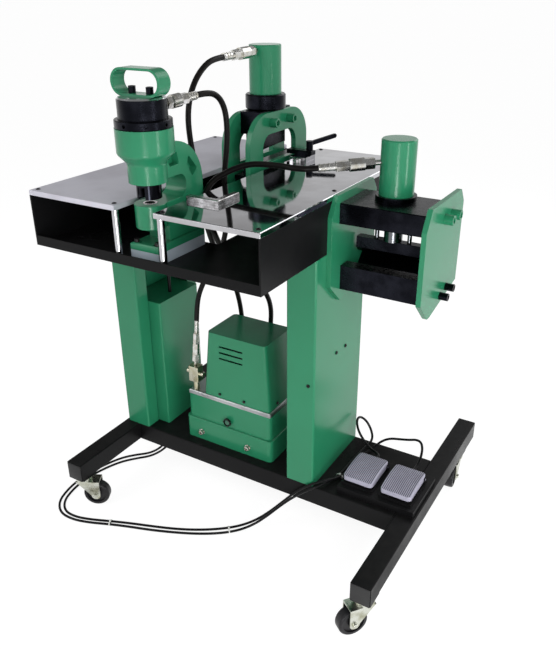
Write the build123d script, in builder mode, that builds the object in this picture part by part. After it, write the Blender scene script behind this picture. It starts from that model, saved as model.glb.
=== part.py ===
from build123d import *

import math
import os

# Busbar processing machine: hydraulic punch, cutter and bender on one wheeled bench.
# Millimetres. +Z is up, +X is to the right of someone standing at the open front,
# +Y is to the back. The origin is on the floor under the middle of the machine.
os.makedirs("parts", exist_ok=True)

# General
overrun = 10.0  # how far a cut runs past the faces that it opens
clearance = 0.3  # gap between faces that slide or turn on each other
origin_shift = 18.16  # moves the whole machine in Y, to centre its outline on the origin
seat_gap = 0.2  # gap of a turned piece in its seat

# Wheeled base: two square-tube legs and a folded tray between them
base_length = 944.0
leg_length = 780.0
leg_width = 52.0
leg_height = 55.0
leg_wall = 3.0
leg_edge = 3.0
leg_vent_diameter = 8.0
tray_sheet = 4.0
tray_edge = 3.0
tray_gland_inset = 48.0  # first cable gland from the tray's left end
tray_gland_spacing = 20.0
tray_gland_count = 2
tray_gland_y = -30.0
tray_gland_drop = 16.0  # below the tray's sheet

# Swivel casters
caster_height = 100.0
front_caster_inset = 30.0  # front swivel axes from the leg's end
rear_caster_inset = 98.0
caster_trail = 34.0  # wheel axle behind the swivel axis
caster_pad_size = 50.0
caster_pad_thickness = 4.0
swivel_race_diameter = 48.0
fork_crown_height = 84.0
fork_sheet = 3.0
fork_gap = 33.0
fork_front = 20.0
fork_eye_radius = 13.0
wheel_diameter = 75.0
wheel_width = 28.0
wheel_shoulder = 6.0
wheel_hub_radius = 13.0
wheel_dish_radius = 27.0
wheel_dish_depth = 4.0
axle_diameter = 8.0
axle_clearance = 0.1
axle_head_radius = 6.5
axle_head_length = 5.0
caster_turns = {  # heading of each caster's trail, degrees about +Z from -Y
    "front_right": -37.0,
    "front_left": 118.0,
    "rear_right": 6.0,
    "rear_left": 112.0,
}

# Columns: folded sheet channels, open towards each other
column_width = 82.0
column_depth = 275.0
column_sheet = 3.0
column_lip = 45.0
column_bend = 5.0

# Table: open-fronted sheet box with two polished top plates
table_width = 650.0
table_depth = 760.0
table_height = 940.0
table_inset = 8.0  # table's left side inside the left leg's outer face
box_height = 125.0
box_sheet = 4.0
box_front_lip = 24.5
top_plate_thickness = 12.0
top_plate_edge = 1.5
left_plate_width = 268.0
slot_width = 112.0
slot_post_diameter = 17.0
slot_post_inset = 9.0  # post axis from the plate's two edges
hose_hole_length = 110.0
hose_hole_slot_x = 69.0  # hole's middle from the slot's left side
hose_hole_centre_y = -110.0

# Punch unit, standing in the slot
punch_slot_x = 55.0  # punch axis from the slot's left side
punch_y = -320.0
punch_block_height = 43.0
punch_block_width = 82.0
punch_block_front = 33.0  # in front of the punch axis
punch_block_back = 140.0  # behind the punch axis
punch_block_edge = 3.0
punch_block_screw_diameter = 11.0
punch_block_screw_depth = 8.0
punch_block_screw_spacing = 46.0
punch_block_screw_setback = 13.0
punch_web_thickness = 60.0
punch_back_radius = 104.0
punch_back_reach = 158.0  # punch axis to the back of the casting
punch_throat_depth = 95.0
punch_throat_height = 52.0
punch_throat_radius = 22.0
punch_foot_setback = 24.0  # foot's front edge behind the punch axis
punch_pocket_depth = 19.0
punch_pocket_corner = 4.0
punch_cast_radius = 9.0  # where the head runs into its cone and nose
upper_pocket_shares = [(-0.21, 0.62), (0.13, 0.78), (0.18, 0.50), (-0.12, 0.49)]
rear_pocket_shares = [(0.51, 0.64), (0.81, 0.29), (0.63, 0.13), (0.47, 0.42)]
nose_diameter = 87.0
nose_clear = 48.5  # nose above the table
nose_height = 42.0
cone_height = 21.5
head_diameter = 127.0
head_height = 54.0
anvil_diameter = 72.0
anvil_height = 55.0
anvil_edge = 3.0
ram_diameter = 40.0
ram_length = 82.0
ram_roof = 6.0  # metal left above the ram's bore
punch_diameter = 22.0
punch_lift = 13.0  # punch tip above the table at rest
punch_travel = 20.0
stripper_diameter = 56.0
stripper_height = 36.0
stripper_window_width = 20.0
stripper_roof_share = 0.25
die_diameter = 32.0
die_height = 18.0
die_clearance = 0.6
die_proud = 0.5
slug_hole_diameter = 26.0
lock_ring_diameter = 125.0
lock_ring_height = 18.0
lock_ring_edge = 1.5
lock_ring_hole_diameter = 8.0
lock_ring_hole_depth = 5.0
lock_ring_hole_count = 8
cap_diameter = 107.0
cap_height = 63.0
cap_edge = 4.0
handle_length = 131.0
handle_height = 57.0
handle_width = 38.0
handle_strip = 5.0
handle_bolt_spacing = 48.0
handle_bolt_diameter = 16.0
handle_bolt_length = 14.5

# Cutter unit, standing in the slot behind the punch
cutter_slot_x = 45.0  # cutter axis from the slot's left side
cutter_y = 190.0
cutter_plate_width = 300.0
cutter_plate_thickness = 15.0
cutter_plate_gap = 59.0
cutter_plate_height = 133.0  # above the table
cutter_shoulder_radius = 85.0
cutter_window_width = 174.0
cutter_window_height = 74.0
cutter_window_radius = 38.0
cutter_sill = 4.0  # window's sill above the table
cutter_edge = 2.5
cutter_head_width = 160.0
cutter_collar_diameter = 109.0
cutter_collar_height = 39.0
cutter_collar_edge = 3.0
cutter_cylinder_diameter = 86.0
cutter_cylinder_height = 123.0
cutter_cylinder_roof = 16.0
cutter_cylinder_edge = 2.0
cutter_ram_diameter = 48.0
cutter_ram_length = 185.0
cutter_holder_width = 138.0
cutter_holder_thickness = 40.0
cutter_holder_height = 40.0
cutter_blade_thickness = 14.0
cutter_blade_height = 14.0
cutter_blade_rake = 6.0
cutter_travel = 20.0
cutter_anvil_width = 230.0
cutter_anvil_step = 30.0
cutter_bolt_spacing = 90.0
cutter_bolt_drop = 26.0  # bolts below the top of the plates
socket_bolt_diameter = 24.0
socket_bolt_length = 22.0
socket_share = 0.34  # socket's radius as a share of the head's diameter
socket_depth_share = 0.5

# Hold-down clamp on the right plate, and the loose angle stop
clamp_slot_x = 44.0  # clamp's pivot from the slot's right side
clamp_y = 238.0
clamp_base_length = 52.0
clamp_base_width = 55.0
clamp_base_height = 12.0
clamp_arm_width = 24.0
clamp_arm_thickness = 12.0
clamp_arm_tail = 12.0
clamp_arm_end_gap = 0.3
lever_hub_diameter = 19.0
lever_hub_height = 26.0
lever_arm_length = 82.0
lever_arm_width = 11.0
lever_arm_thickness = 8.0
lever_rise = 14.0
lever_heading = 60.0  # degrees from +X towards +Y
stop_slot_x = 4.0  # stop's left end from the slot's right side
stop_y = -268.0
stop_length = 88.0
stop_depth = 83.0
stop_bar = 15.0
stop_height = 12.0

# Bender unit, bolted to the table's right side
bender_plate_thickness = 12.0
bender_span = 215.0  # between the two side plates
bender_plate_depth = 250.0
bender_plate_height = 272.0
bender_front_y = -88.0
bender_chamfer_shares = [(0.11, 0.17), (0.22, 0.19), (0.72, 0.13), (0.10, 0.12)]
bender_axis_y = 45.0
bender_axis_share = 0.46  # cylinder's place along the span
bender_beam_depth = 146.0
bender_beam_back = 50.0  # behind the cylinder's axis
bender_beam_height = 50.0
bender_beam_drop = 20.0  # beam's top below the plates' top
bender_beam_edge = 2.0
bender_boss_diameter = 98.0
bender_boss_height = 12.0
bender_cylinder_diameter = 83.0
bender_cylinder_height = 130.0
bender_cylinder_roof = 18.0
bender_cylinder_edge = 2.5
bender_ram_diameter = 45.0
bender_ram_length = 235.0
bender_punch_width = 182.0
bender_punch_thickness = 24.0
bender_punch_height = 40.0
bender_travel = 55.0
bender_die_depth = 165.0
bender_die_height = 62.0
bender_die_lift = 32.0  # die above the plates' lower edge
bender_die_groove = 90.0
bender_die_gap = 16.0  # punch tip above the die at rest
bender_guide_diameter = 11.0
bender_guide_spacing = 84.0
bender_bolt_inset = 16.0
bender_pin_diameter = 19.0
bender_pin_length = 22.0
bender_pin_spacing = 40.0
bender_pin_rise = 10.0

# Hydraulic power pack on the tray
tank_left_x = -258.0
tank_front_y = -106.0
tank_length = 295.0
tank_depth = 214.0
tank_lower_height = 69.0
tank_upper_height = 76.0
tank_upper_inset = 6.0
tank_corner = 14.0
tank_edge = 3.0
pump_plate_height = 12.0
pump_plate_inset = 12.0
cover_left_gap = 50.0  # cover's left side from the plate's left side
cover_right_gap = 5.0
cover_front_gap = 4.0
cover_depth = 155.0
cover_height = 198.0
cover_draft = 16.0
cover_corner = 12.0
cover_sheet = 2.0
louvre_length = 78.0
louvre_height = 5.0
louvre_pitch = 18.0
louvre_count = 3
louvre_top_share = 0.83
motor_diameter = 118.0
motor_height = 165.0
motor_flange_diameter = 138.0
motor_flange_height = 10.0
manifold_inset_x = 18.0
manifold_inset_y = 14.0
manifold_width = 32.0
manifold_depth = 28.0
manifold_height = 48.0
manifold_lift = 30.0
manifold_pipe_diameter = 18.0
manifold_plug_diameter = 14.0
manifold_plug_length = 12.0

# Control box in the left column
control_box_height = 403.0
control_box_gap = 3.5  # to each lip of the column
control_box_proud = 40.0  # past the column's open side
control_box_back_gap = 6.0
control_box_edge = 4.0

# Foot switches
pedal_plate_gap = 64.0  # from the right column
pedal_plate_length = 215.0
pedal_plate_front_y = -120.0
pedal_plate_depth = 165.0
pedal_plate_height = 17.0
pedal_plate_sheet = 3.0
pedal_width = 84.0
pedal_depth = 115.0
pedal_spacing = 107.0
pedal_inset = 49.0  # plate's left edge to the left pedal's middle
pedal_front_y = -100.0
pedal_base_height = 6.0
pedal_base_margin = 3.0
pedal_gap = 6.5  # free height under the front of a pedal
pedal_front_height = 12.0
pedal_crown_height = 21.0
pedal_crown_share = 0.6  # where the tread is highest, from its front edge
pedal_back_height = 17.0
pedal_corner = 10.0
pedal_edge = 3.0
pedal_rib_count = 14
pedal_rib_depth = 1.2
pedal_groove_width = 2.4
pedal_hinge_diameter = 6.0
pedal_hinge_lift = 4.5  # pin's axis above the tread's lower face
gland_diameter = 13.0
gland_length = 12.0
pedal_gland_lift = 6.0

# Hoses and cables
hose_diameter = 14.0
cord_diameter = 7.0
control_cable_diameter = 10.0
coupling_neck_radius = 6.5
coupling_nut_radius = 14.0
coupling_body_radius = 15.0
coupling_collar_radius = 12.5
coupling_sleeve_radius = 8.5
coupling_step_shares = [0.10, 0.16, 0.24, 0.22, 0.28]
pump_coupling_share = 0.72  # girth of the couplings at the pump
bend_share = 0.45  # part of the shorter run that a bend takes up
punch_port_heading = 79.56  # degrees from +X, seen from above
punch_port_reach = 154.4  # head's axis to the hose's end
punch_port_drop = 15.0  # below the top of the cap
punch_port_slope_share = 0.0776
cutter_port_heading = -91.84
cutter_port_reach = 186.9
cutter_port_drop = 18.5
cutter_port_slope_share = -0.0359
bender_port_heading = -141.78
bender_port_reach = 187.3
bender_port_drop = 62.0
bender_port_slope_share = -0.06

punch_hose_route = [
    (-113, -168, 1154), (-106, -130, 1157), (-100, -98, 1144), (-96, -80, 1112),
    (-95, -76, 1068), (-96, -80, 1020), (-98, -88, 975), (-99, -92, 925),
    (-100, -86, 875), (-106, -78, 825), (-122, -74, 770), (-152, -73, 717),
    (-182, -75, 668), (-206, -77, 620), (-216.3, -78.2, 576), (-219, -80, 533),
]
cutter_hose_route = [
    (-157, 3, 1219), (-158.1, -36, 1217.6), (-159, -72, 1204), (-160, -105, 1179),
    (-161, -129, 1144), (-161, -141, 1100), (-161, -138, 1050), (-159, -129, 995),
    (-156, -121, 938), (-153, -113, 880), (-150, -102, 822), (-152, -78, 768),
    (-160, -40, 716), (-168, 5, 664), (-172, 45, 606), (-174, 70, 543),
    (-175, 83, 475), (-175, 83, 425),
]
bender_hose_route = [
    (149.6, -71, 1000), (130, -86.5, 998.5), (100, -95, 999), (60, -92, 999.5),
    (15, -91, 998), (-20, -97, 995), (-45, -115, 987), (-62, -135, 978),
    (-79, -154, 966), (-91, -170, 948), (-96, -181, 922), (-97, -177, 890),
    (-97, -162, 857), (-97, -143, 824), (-97, -124, 788), (-94, -90, 745),
    (-85, -45, 700), (-72, 5, 650), (-64, 46, 598), (-68, 74, 542),
    (-80, 88, 480), (-80, 88, 430),
]
left_cord_route = [
    (-372, -30, 135), (-372, -30, 113), (-376, -40, 85), (-387, -57, 54),
    (-406, -75, 27), (-436, -93, 9), (-470, -114, 4), (-500, -150, 4),
    (-520, -200, 4), (-534, -255, 4), (-538, -310, 4), (-532, -358, 4),
    (-515, -408, 4), (-474, -442, 4), (-420, -444, 4), (-368, -428, 4),
    (-318, -406, 4), (-265, -386, 4), (-205, -366, 4), (-145, -342, 4), (-85, -314, 4),
    (-30, -280, 4), (12, -244, 6), (44, -212, 18), (72, -186, 42),
    (100, -170, 74), (130, -162, 107), (160, -158, 136), (186, -152, 157),
    (206, -135, 166), (218, -104, 163), (226, -68, 159), (230, -28, 159),
    (230, 8, 159), (231, 44, 159), (237, 82, 162), (247, 122, 172),
    (233.5, 141, 191.6), (214.5, 141, 220.4), (201, 121.6, 240.6), (204, 94.4, 240.6),
    (220.5, 75, 220.4), (242.5, 75, 191.6), (256, 72, 182), (270, 68, 178),
    (284, 62, 178), (294, 53, 179.5), (299, 42, 181), (299, 30, 181),
]
right_cord_route = [
    (-352, -30, 135), (-352, -30, 113), (-356, -42, 87), (-368, -61, 57),
    (-389, -83, 30), (-420, -105, 11), (-456, -128, 4), (-486, -165, 4),
    (-506, -212, 4), (-519, -262, 4), (-523, -308, 4), (-518, -353, 4),
    (-503, -399, 4), (-468, -430, 4), (-422, -432, 4), (-372, -416, 4),
    (-322, -394, 4), (-267, -372, 4), (-208, -351, 4), (-148, -328, 4), (-90, -299, 4),
    (-38, -264, 4), (4, -228, 6), (38, -197, 18), (68, -172, 42),
    (100, -156, 78), (132, -149, 117), (164, -146, 150), (192, -143, 172),
    (214, -122, 177), (229, -92, 168), (238, -60, 161), (241, -22, 159),
    (242, 16, 159), (244, 50, 159), (252, 82, 160), (262, 108, 166),
    (274, 127, 176), (294, 138, 185), (322, 141, 190), (350, 140, 198),
    (373, 137, 209), (391, 126, 213), (402, 108, 206), (407, 86, 195),
    (408, 65, 185), (406, 47, 181), (406, 30, 181),
]
control_cable_route = [
    (-392, 5, 803), (-392, 5, 752), (-386, 2, 700), (-378, -1, 646), (-374, -2, 600), (-374, -2, 558),
]

# Places that follow from the sizes above
leg_x = (base_length - leg_width) / 2
base_top = caster_height + leg_height
front_caster_y = front_caster_inset - leg_length / 2
rear_caster_y = leg_length / 2 - rear_caster_inset
tray_length = base_length - 2 * leg_width
table_left = -base_length / 2 + table_inset
table_right = table_left + table_width
pedal_plate_left_x = table_right + pedal_plate_gap
pedal_left_centre_x = pedal_plate_left_x + pedal_inset
table_front = -table_depth / 2
table_back = table_depth / 2
plate_bottom = table_height - top_plate_thickness
box_bottom = plate_bottom - box_height
box_floor = box_bottom + box_sheet
slot_left = table_left + left_plate_width
slot_right = slot_left + slot_width
hose_hole_x = slot_left + hose_hole_slot_x
punch_x = slot_left + punch_slot_x
cutter_x = slot_left + cutter_slot_x
clamp_x = slot_right + clamp_slot_x
stop_x = slot_right + stop_slot_x
wheel_radius = wheel_diameter / 2
nose_bottom = table_height + nose_clear
nose_top = nose_bottom + nose_height
cone_top = nose_top + cone_height
head_top = cone_top + head_height
cap_top = head_top + cap_height
punch_base = box_floor + punch_block_height
cutter_top = table_height + cutter_plate_height
cutter_outer = cutter_plate_gap / 2 + cutter_plate_thickness
window_bottom = table_height + cutter_sill
window_top = window_bottom + cutter_window_height
collar_bottom = cutter_top + cutter_edge
collar_top = collar_bottom + cutter_collar_height
bender_inner = table_right + bender_plate_thickness
bender_outer = bender_inner + bender_span
bender_face = bender_outer + bender_plate_thickness
bender_back_y = bender_front_y + bender_plate_depth
bender_bottom = table_height - bender_plate_height
bender_x = bender_inner + bender_span * bender_axis_share
beam_top = table_height - bender_beam_drop
beam_bottom = beam_top - bender_beam_height
bender_boss_top = beam_top + bender_boss_height
die_bottom = bender_bottom + bender_die_lift
die_top = die_bottom + bender_die_height
tank_right = tank_left_x + tank_length
tank_back = tank_front_y + tank_depth
tank_top = base_top + tank_lower_height + tank_upper_height
plate_left = tank_left_x + pump_plate_inset
plate_right = tank_right - tank_upper_inset
plate_front = tank_front_y + tank_upper_inset
plate_back = tank_back - tank_upper_inset
plate_top = tank_top + pump_plate_height
cover_left = plate_left + cover_left_gap
cover_right = plate_right - cover_right_gap
cover_front = plate_front + cover_front_gap
cover_back = cover_front + cover_depth
manifold_x = plate_left + manifold_inset_x
manifold_y = plate_front + manifold_inset_y
manifold_top = plate_top + manifold_lift + manifold_height
pedal_floor = base_top + pedal_plate_height
pedal_base_top = pedal_floor + pedal_base_height
pedal_bottom = pedal_base_top + pedal_gap
pedal_back_y = pedal_front_y + pedal_depth
pedal_gland_y = pedal_back_y + pedal_base_margin
pedal_hinge_y = pedal_back_y - 2 * pedal_hinge_diameter


def span_box(xs, ys, zs, mode=Mode.ADD):
    """Box between two corners, given as the ranges that it fills."""
    middle = tuple((low + high) / 2 for low, high in (xs, ys, zs))
    with Locations(middle):
        return Box(*(high - low for low, high in (xs, ys, zs)), mode=mode)


def upright(x, y, z_low, z_high, radius, mode=Mode.ADD):
    """Upright cylinder between two heights."""
    with Locations((x, y, (z_low + z_high) / 2)):
        return Cylinder(radius, z_high - z_low, mode=mode)


def save(part, name):
    """Label a finished piece, move it to the part's origin and write it."""
    placed = part.moved(Location((0, origin_shift, 0)))
    placed.label = name
    export_step(placed, f"parts/{name}.step")


# Legs: capped square tubes with a welded pad for each caster
def leg(side):
    x = side * leg_x
    xs = (x - leg_width / 2, x + leg_width / 2)
    ys = (-leg_length / 2, leg_length / 2)
    with BuildPart() as tube:
        span_box(xs, ys, (caster_height, base_top))
        fillet(tube.edges().filter_by(Axis.Y), leg_edge)
        span_box(
            (xs[0] + leg_wall, xs[1] - leg_wall),
            (ys[0] + leg_wall, ys[1] - leg_wall),
            (caster_height + leg_wall, base_top - leg_wall),
            Mode.SUBTRACT,
        )
        upright(x, 0, caster_height - overrun, caster_height + overrun, leg_vent_diameter / 2, Mode.SUBTRACT)
        for y in (front_caster_y, rear_caster_y):
            half = caster_pad_size / 2
            span_box(
                (x - half, x + half),
                (y - half, y + half),
                (caster_height - caster_pad_thickness, caster_height),
            )
    return tube.part


save(leg(-1), "left_leg")
save(leg(1), "right_leg")

# Tray: a sheet folded down at the front and back, with two cable glands below
with BuildPart() as base_tray:
    span_box((-tray_length / 2, tray_length / 2), (-column_depth / 2, column_depth / 2), (caster_height, base_top))
    fillet(base_tray.edges().filter_by(Axis.X).group_by(Axis.Z)[-1], tray_edge)
    span_box(
        (-tray_length / 2 - overrun, tray_length / 2 + overrun),
        (-column_depth / 2 + tray_sheet, column_depth / 2 - tray_sheet),
        (caster_height - overrun, base_top - tray_sheet),
        Mode.SUBTRACT,
    )
    gland_top = base_top - tray_sheet
    for index in range(tray_gland_count):
        gland_x = tray_gland_inset - tray_length / 2 + index * tray_gland_spacing
        upright(gland_x, tray_gland_y, gland_top - tray_gland_drop, gland_top, gland_diameter / 2)
save(base_tray.part, "base_tray")


# Columns: channels with return lips on the side that faces the pump
def column(side):
    outer = table_left if side < 0 else table_right
    inner = outer - side * column_width
    middle_y = column_depth / 2 - column_sheet
    with BuildPart() as channel:
        span_box(sorted((outer, inner)), (-column_depth / 2, column_depth / 2), (base_top, box_bottom))
        fillet(channel.edges().filter_by(Axis.Z), column_bend)
        span_box(
            sorted((outer - side * column_sheet, inner + side * column_sheet)),
            (-middle_y, middle_y),
            (base_top - overrun, box_bottom + overrun),
            Mode.SUBTRACT,
        )
        opening = column_depth / 2 - column_lip
        span_box(
            sorted((inner + side * overrun, inner - side * overrun)),
            (-opening, opening),
            (base_top - overrun, box_bottom + overrun),
            Mode.SUBTRACT,
        )
    return channel.part


save(column(-1), "left_column")
save(column(1), "right_column")

# Control box: closed sheet case standing between the left column's lips
control_half = column_depth / 2 - column_lip - control_box_gap
control_right = table_left + column_width + control_box_proud
with BuildPart() as control_box:
    span_box(
        (table_left + column_sheet + control_box_back_gap, control_right),
        (-control_half, control_half),
        (base_top, base_top + control_box_height),
    )
    fillet(control_box.edges().filter_by(Axis.Z), control_box_edge)
save(control_box.part, "control_box")

# Table box: floor with a front lip, two sides and a back
with BuildPart() as table_box:
    span_box((table_left, table_right), (table_front, table_back), (box_bottom, plate_bottom))
    span_box(
        (table_left + box_sheet, table_right - box_sheet),
        (table_front + box_sheet, table_back - box_sheet),
        (box_floor, plate_bottom + overrun),
        Mode.SUBTRACT,
    )
    span_box(
        (table_left + box_sheet, table_right - box_sheet),
        (table_front - overrun, table_front + box_sheet + overrun),
        (box_bottom + box_front_lip, plate_bottom + overrun),
        Mode.SUBTRACT,
    )
    span_box(
        (hose_hole_x - hose_hole_length / 2, hose_hole_x + hose_hole_length / 2),
        (hose_hole_centre_y - hose_hole_length / 2, hose_hole_centre_y + hose_hole_length / 2),
        (box_bottom - overrun, box_floor + overrun),
        Mode.SUBTRACT,
    )
    upright(
        control_cable_route[0][0], control_cable_route[0][1], box_bottom - overrun, box_floor + overrun,
        control_cable_diameter / 2 + clearance, Mode.SUBTRACT,
    )
save(table_box.part, "table_box")


# Top plates: polished steel, one on each side of the slot
def top_plate(left, right):
    with BuildPart() as plate:
        span_box((left, right), (table_front, table_back), (plate_bottom, table_height))
        chamfer(plate.faces().sort_by(Axis.Z)[-1].edges(), top_plate_edge)
    return plate.part


save(top_plate(table_left, slot_left), "left_top_plate")
save(top_plate(slot_right, table_right), "right_top_plate")

# Posts: bright turned bars that carry the plates' corners at the mouth of the slot
with BuildPart() as slot_posts:
    for x in (slot_left - slot_post_inset, slot_right + slot_post_inset):
        upright(x, table_front + box_sheet + slot_post_inset, box_floor, plate_bottom, slot_post_diameter / 2)
save(slot_posts.part, "slot_posts")

# Punch clamp block: the bar that the punch casting is screwed down to
with BuildPart() as punch_clamp_block:
    span_box(
        (punch_x - punch_block_width / 2, punch_x + punch_block_width / 2),
        (punch_y - punch_block_front, punch_y + punch_block_back),
        (box_floor, punch_base),
    )
    chamfer(punch_clamp_block.faces().sort_by(Axis.Z)[-1].edges(), punch_block_edge)
    screw_y = punch_y - punch_block_front + punch_block_screw_setback
    with Locations((punch_x, screw_y, punch_base)):
        with GridLocations(punch_block_screw_spacing, 0, 2, 1):
            Hole(punch_block_screw_diameter / 2, punch_block_screw_depth)
save(punch_clamp_block.part, "punch_clamp_block")

# Punch casting: C-shaped web with a turned head above and an anvil boss below
back_centre_y = punch_y + punch_back_reach - punch_back_radius
back_centre_z = table_height + nose_clear / 2
web_top = back_centre_z + punch_back_radius
anvil_bottom = table_height - anvil_height
with BuildPart() as punch_frame:
    with BuildSketch(Plane.YZ.offset(punch_x)):
        with BuildLine():
            foot = Line((punch_y + punch_foot_setback, punch_base), (punch_y + punch_back_reach, punch_base))
            Line(foot @ 1, (punch_y + punch_back_reach, back_centre_z))
            CenterArc((back_centre_y, back_centre_z), punch_back_radius, 0, 90)
            roof = Line((back_centre_y, web_top), (punch_y, web_top))
            Polyline(roof @ 1, (punch_y, anvil_bottom), (punch_y + punch_foot_setback, anvil_bottom), foot @ 0)
        make_face()
        throat_y = punch_y + punch_throat_depth
        with Locations((throat_y - punch_throat_depth, table_height + punch_throat_height / 2)):
            RectangleRounded(2 * punch_throat_depth, punch_throat_height, punch_throat_radius, mode=Mode.SUBTRACT)
        with Locations((punch_y - punch_throat_depth / 2, table_height + punch_throat_height / 2)):
            Rectangle(punch_throat_depth, punch_throat_height, mode=Mode.SUBTRACT)
    extrude(amount=punch_web_thickness / 2, both=True)
    for side in (-1, 1):
        for shares in (upper_pocket_shares, rear_pocket_shares):
            with BuildSketch(Plane.YZ.offset(punch_x + side * punch_web_thickness / 2)) as pocket:
                with BuildLine():
                    Polyline(
                        *(
                            (back_centre_y + y * punch_back_radius, back_centre_z + z * punch_back_radius)
                            for y, z in shares
                        ),
                        close=True,
                    )
                make_face()
                fillet(pocket.vertices(), punch_pocket_corner)
            extrude(amount=-side * punch_pocket_depth, mode=Mode.SUBTRACT)
    with BuildSketch(Plane.XZ.offset(-punch_y)) as turned:
        with BuildLine():
            Polyline(
                (punch_x, nose_bottom),
                (punch_x + nose_diameter / 2, nose_bottom),
                (punch_x + nose_diameter / 2, nose_top),
                (punch_x + head_diameter / 2, cone_top),
                (punch_x + head_diameter / 2, head_top),
                (punch_x, head_top),
                close=True,
            )
        make_face()
        by_height = turned.vertices().group_by(Axis.Y)
        fillet(by_height[1] + by_height[2], punch_cast_radius)
    revolve(axis=Axis((punch_x, punch_y, 0), (0, 0, 1)))
    upright(punch_x, punch_y, anvil_bottom, table_height, anvil_diameter / 2)
    fillet(punch_frame.edges().filter_by(GeomType.CIRCLE).group_by(Axis.Z)[0], anvil_edge)
    upright(punch_x, punch_y, nose_bottom - overrun, head_top - ram_roof, ram_diameter / 2 + clearance, Mode.SUBTRACT)
    upright(punch_x, punch_y, table_height - die_height, table_height + overrun, die_diameter / 2 + seat_gap, Mode.SUBTRACT)
    upright(punch_x, punch_y, anvil_bottom - overrun, table_height, slug_hole_diameter / 2, Mode.SUBTRACT)
save(punch_frame.part, "punch_frame")

# Stripper: black sleeve under the nose, cut open at the front to show the punch
with BuildPart() as punch_stripper:
    upright(punch_x, punch_y, nose_bottom - stripper_height, nose_bottom, stripper_diameter / 2)
    upright(
        punch_x, punch_y, nose_bottom - stripper_height - overrun, nose_bottom + overrun,
        punch_diameter / 2 + die_clearance, Mode.SUBTRACT,
    )
    span_box(
        (punch_x - stripper_window_width / 2, punch_x + stripper_window_width / 2),
        (punch_y - stripper_diameter, punch_y),
        (nose_bottom - stripper_height - overrun, nose_bottom - stripper_height * stripper_roof_share),
        Mode.SUBTRACT,
    )
save(punch_stripper.part, "punch_stripper")

# Punch ram: piston rod in the head with the round punch on its end
ram_bottom = nose_bottom + punch_travel + clearance
with BuildPart() as punch_ram:
    upright(punch_x, punch_y, ram_bottom, ram_bottom + ram_length, ram_diameter / 2)
    upright(punch_x, punch_y, table_height + punch_lift, ram_bottom, punch_diameter / 2)
save(punch_ram.part, "punch_ram")

# Die: hardened ring dropped into the anvil
with BuildPart() as punch_die:
    upright(punch_x, punch_y, table_height - die_height, table_height + die_proud, die_diameter / 2)
    upright(
        punch_x, punch_y, table_height - die_height - overrun, table_height + overrun,
        punch_diameter / 2 + die_clearance, Mode.SUBTRACT,
    )
save(punch_die.part, "punch_die")

# Lock ring: turned collar with a row of spanner holes
with BuildPart() as punch_lock_ring:
    upright(punch_x, punch_y, head_top, head_top + lock_ring_height, lock_ring_diameter / 2)
    chamfer(punch_lock_ring.edges().filter_by(GeomType.CIRCLE), lock_ring_edge)
    upright(
        punch_x, punch_y, head_top - overrun, head_top + lock_ring_height + overrun,
        cap_diameter / 2 + clearance, Mode.SUBTRACT,
    )
    with Locations((punch_x, punch_y, head_top + lock_ring_height / 2)):
        with PolarLocations(lock_ring_diameter / 2, lock_ring_hole_count):
            Cylinder(lock_ring_hole_diameter / 2, 2 * lock_ring_hole_depth, rotation=(0, 90, 0), mode=Mode.SUBTRACT)
save(punch_lock_ring.part, "punch_lock_ring")

# Cap: black cylinder head above the ring
with BuildPart() as punch_cap:
    upright(punch_x, punch_y, head_top, cap_top, cap_diameter / 2)
    chamfer(punch_cap.faces().sort_by(Axis.Z)[-1].edges(), cap_edge)
save(punch_cap.part, "punch_cap")

# Handle: flat strip bent into a closed loop and bolted to the cap
handle_middle = cap_top + handle_height / 2
with BuildPart() as punch_handle:
    with BuildSketch(Plane.XZ.offset(-punch_y)):
        with Locations((punch_x, handle_middle)):
            SlotOverall(handle_length, handle_height)
            SlotOverall(handle_length - 2 * handle_strip, handle_height - 2 * handle_strip, mode=Mode.SUBTRACT)
    extrude(amount=handle_width / 2, both=True)
save(punch_handle.part, "punch_handle")


# Cutter side plates: thick steel with round shoulders and a work window
def cutter_plate(side):
    inner = cutter_x + side * cutter_plate_gap / 2
    with BuildPart() as plate:
        with BuildSketch(Plane.YZ.offset(inner)):
            with BuildLine():
                FilletPolyline(
                    (cutter_y + cutter_plate_width / 2, box_floor),
                    (cutter_y + cutter_plate_width / 2, cutter_top),
                    (cutter_y - cutter_plate_width / 2, cutter_top),
                    (cutter_y - cutter_plate_width / 2, box_floor),
                    radius=cutter_shoulder_radius,
                )
                Line(
                    (cutter_y - cutter_plate_width / 2, box_floor),
                    (cutter_y + cutter_plate_width / 2, box_floor),
                )
            make_face()
            with BuildLine():
                arch = FilletPolyline(
                    (cutter_y + cutter_window_width / 2, window_bottom),
                    (cutter_y + cutter_window_width / 2, window_top),
                    (cutter_y - cutter_window_width / 2, window_top),
                    (cutter_y - cutter_window_width / 2, window_bottom),
                    radius=cutter_window_radius,
                )
                Line(arch @ 1, arch @ 0)
            make_face(mode=Mode.SUBTRACT)
        extrude(amount=side * cutter_plate_thickness)
    return plate.part


save(cutter_plate(-1), "cutter_left_plate")
save(cutter_plate(1), "cutter_right_plate")

# Head block: black bar between the plates that the cylinder screws into
cutter_bore = cutter_ram_diameter / 2 + clearance
with BuildPart() as cutter_head_block:
    span_box(
        (cutter_x - cutter_plate_gap / 2, cutter_x + cutter_plate_gap / 2),
        (cutter_y - cutter_head_width / 2, cutter_y + cutter_head_width / 2),
        (window_top, collar_bottom),
    )
    upright(cutter_x, cutter_y, window_top - overrun, collar_bottom + overrun, cutter_bore, Mode.SUBTRACT)
save(cutter_head_block.part, "cutter_head_block")

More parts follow.
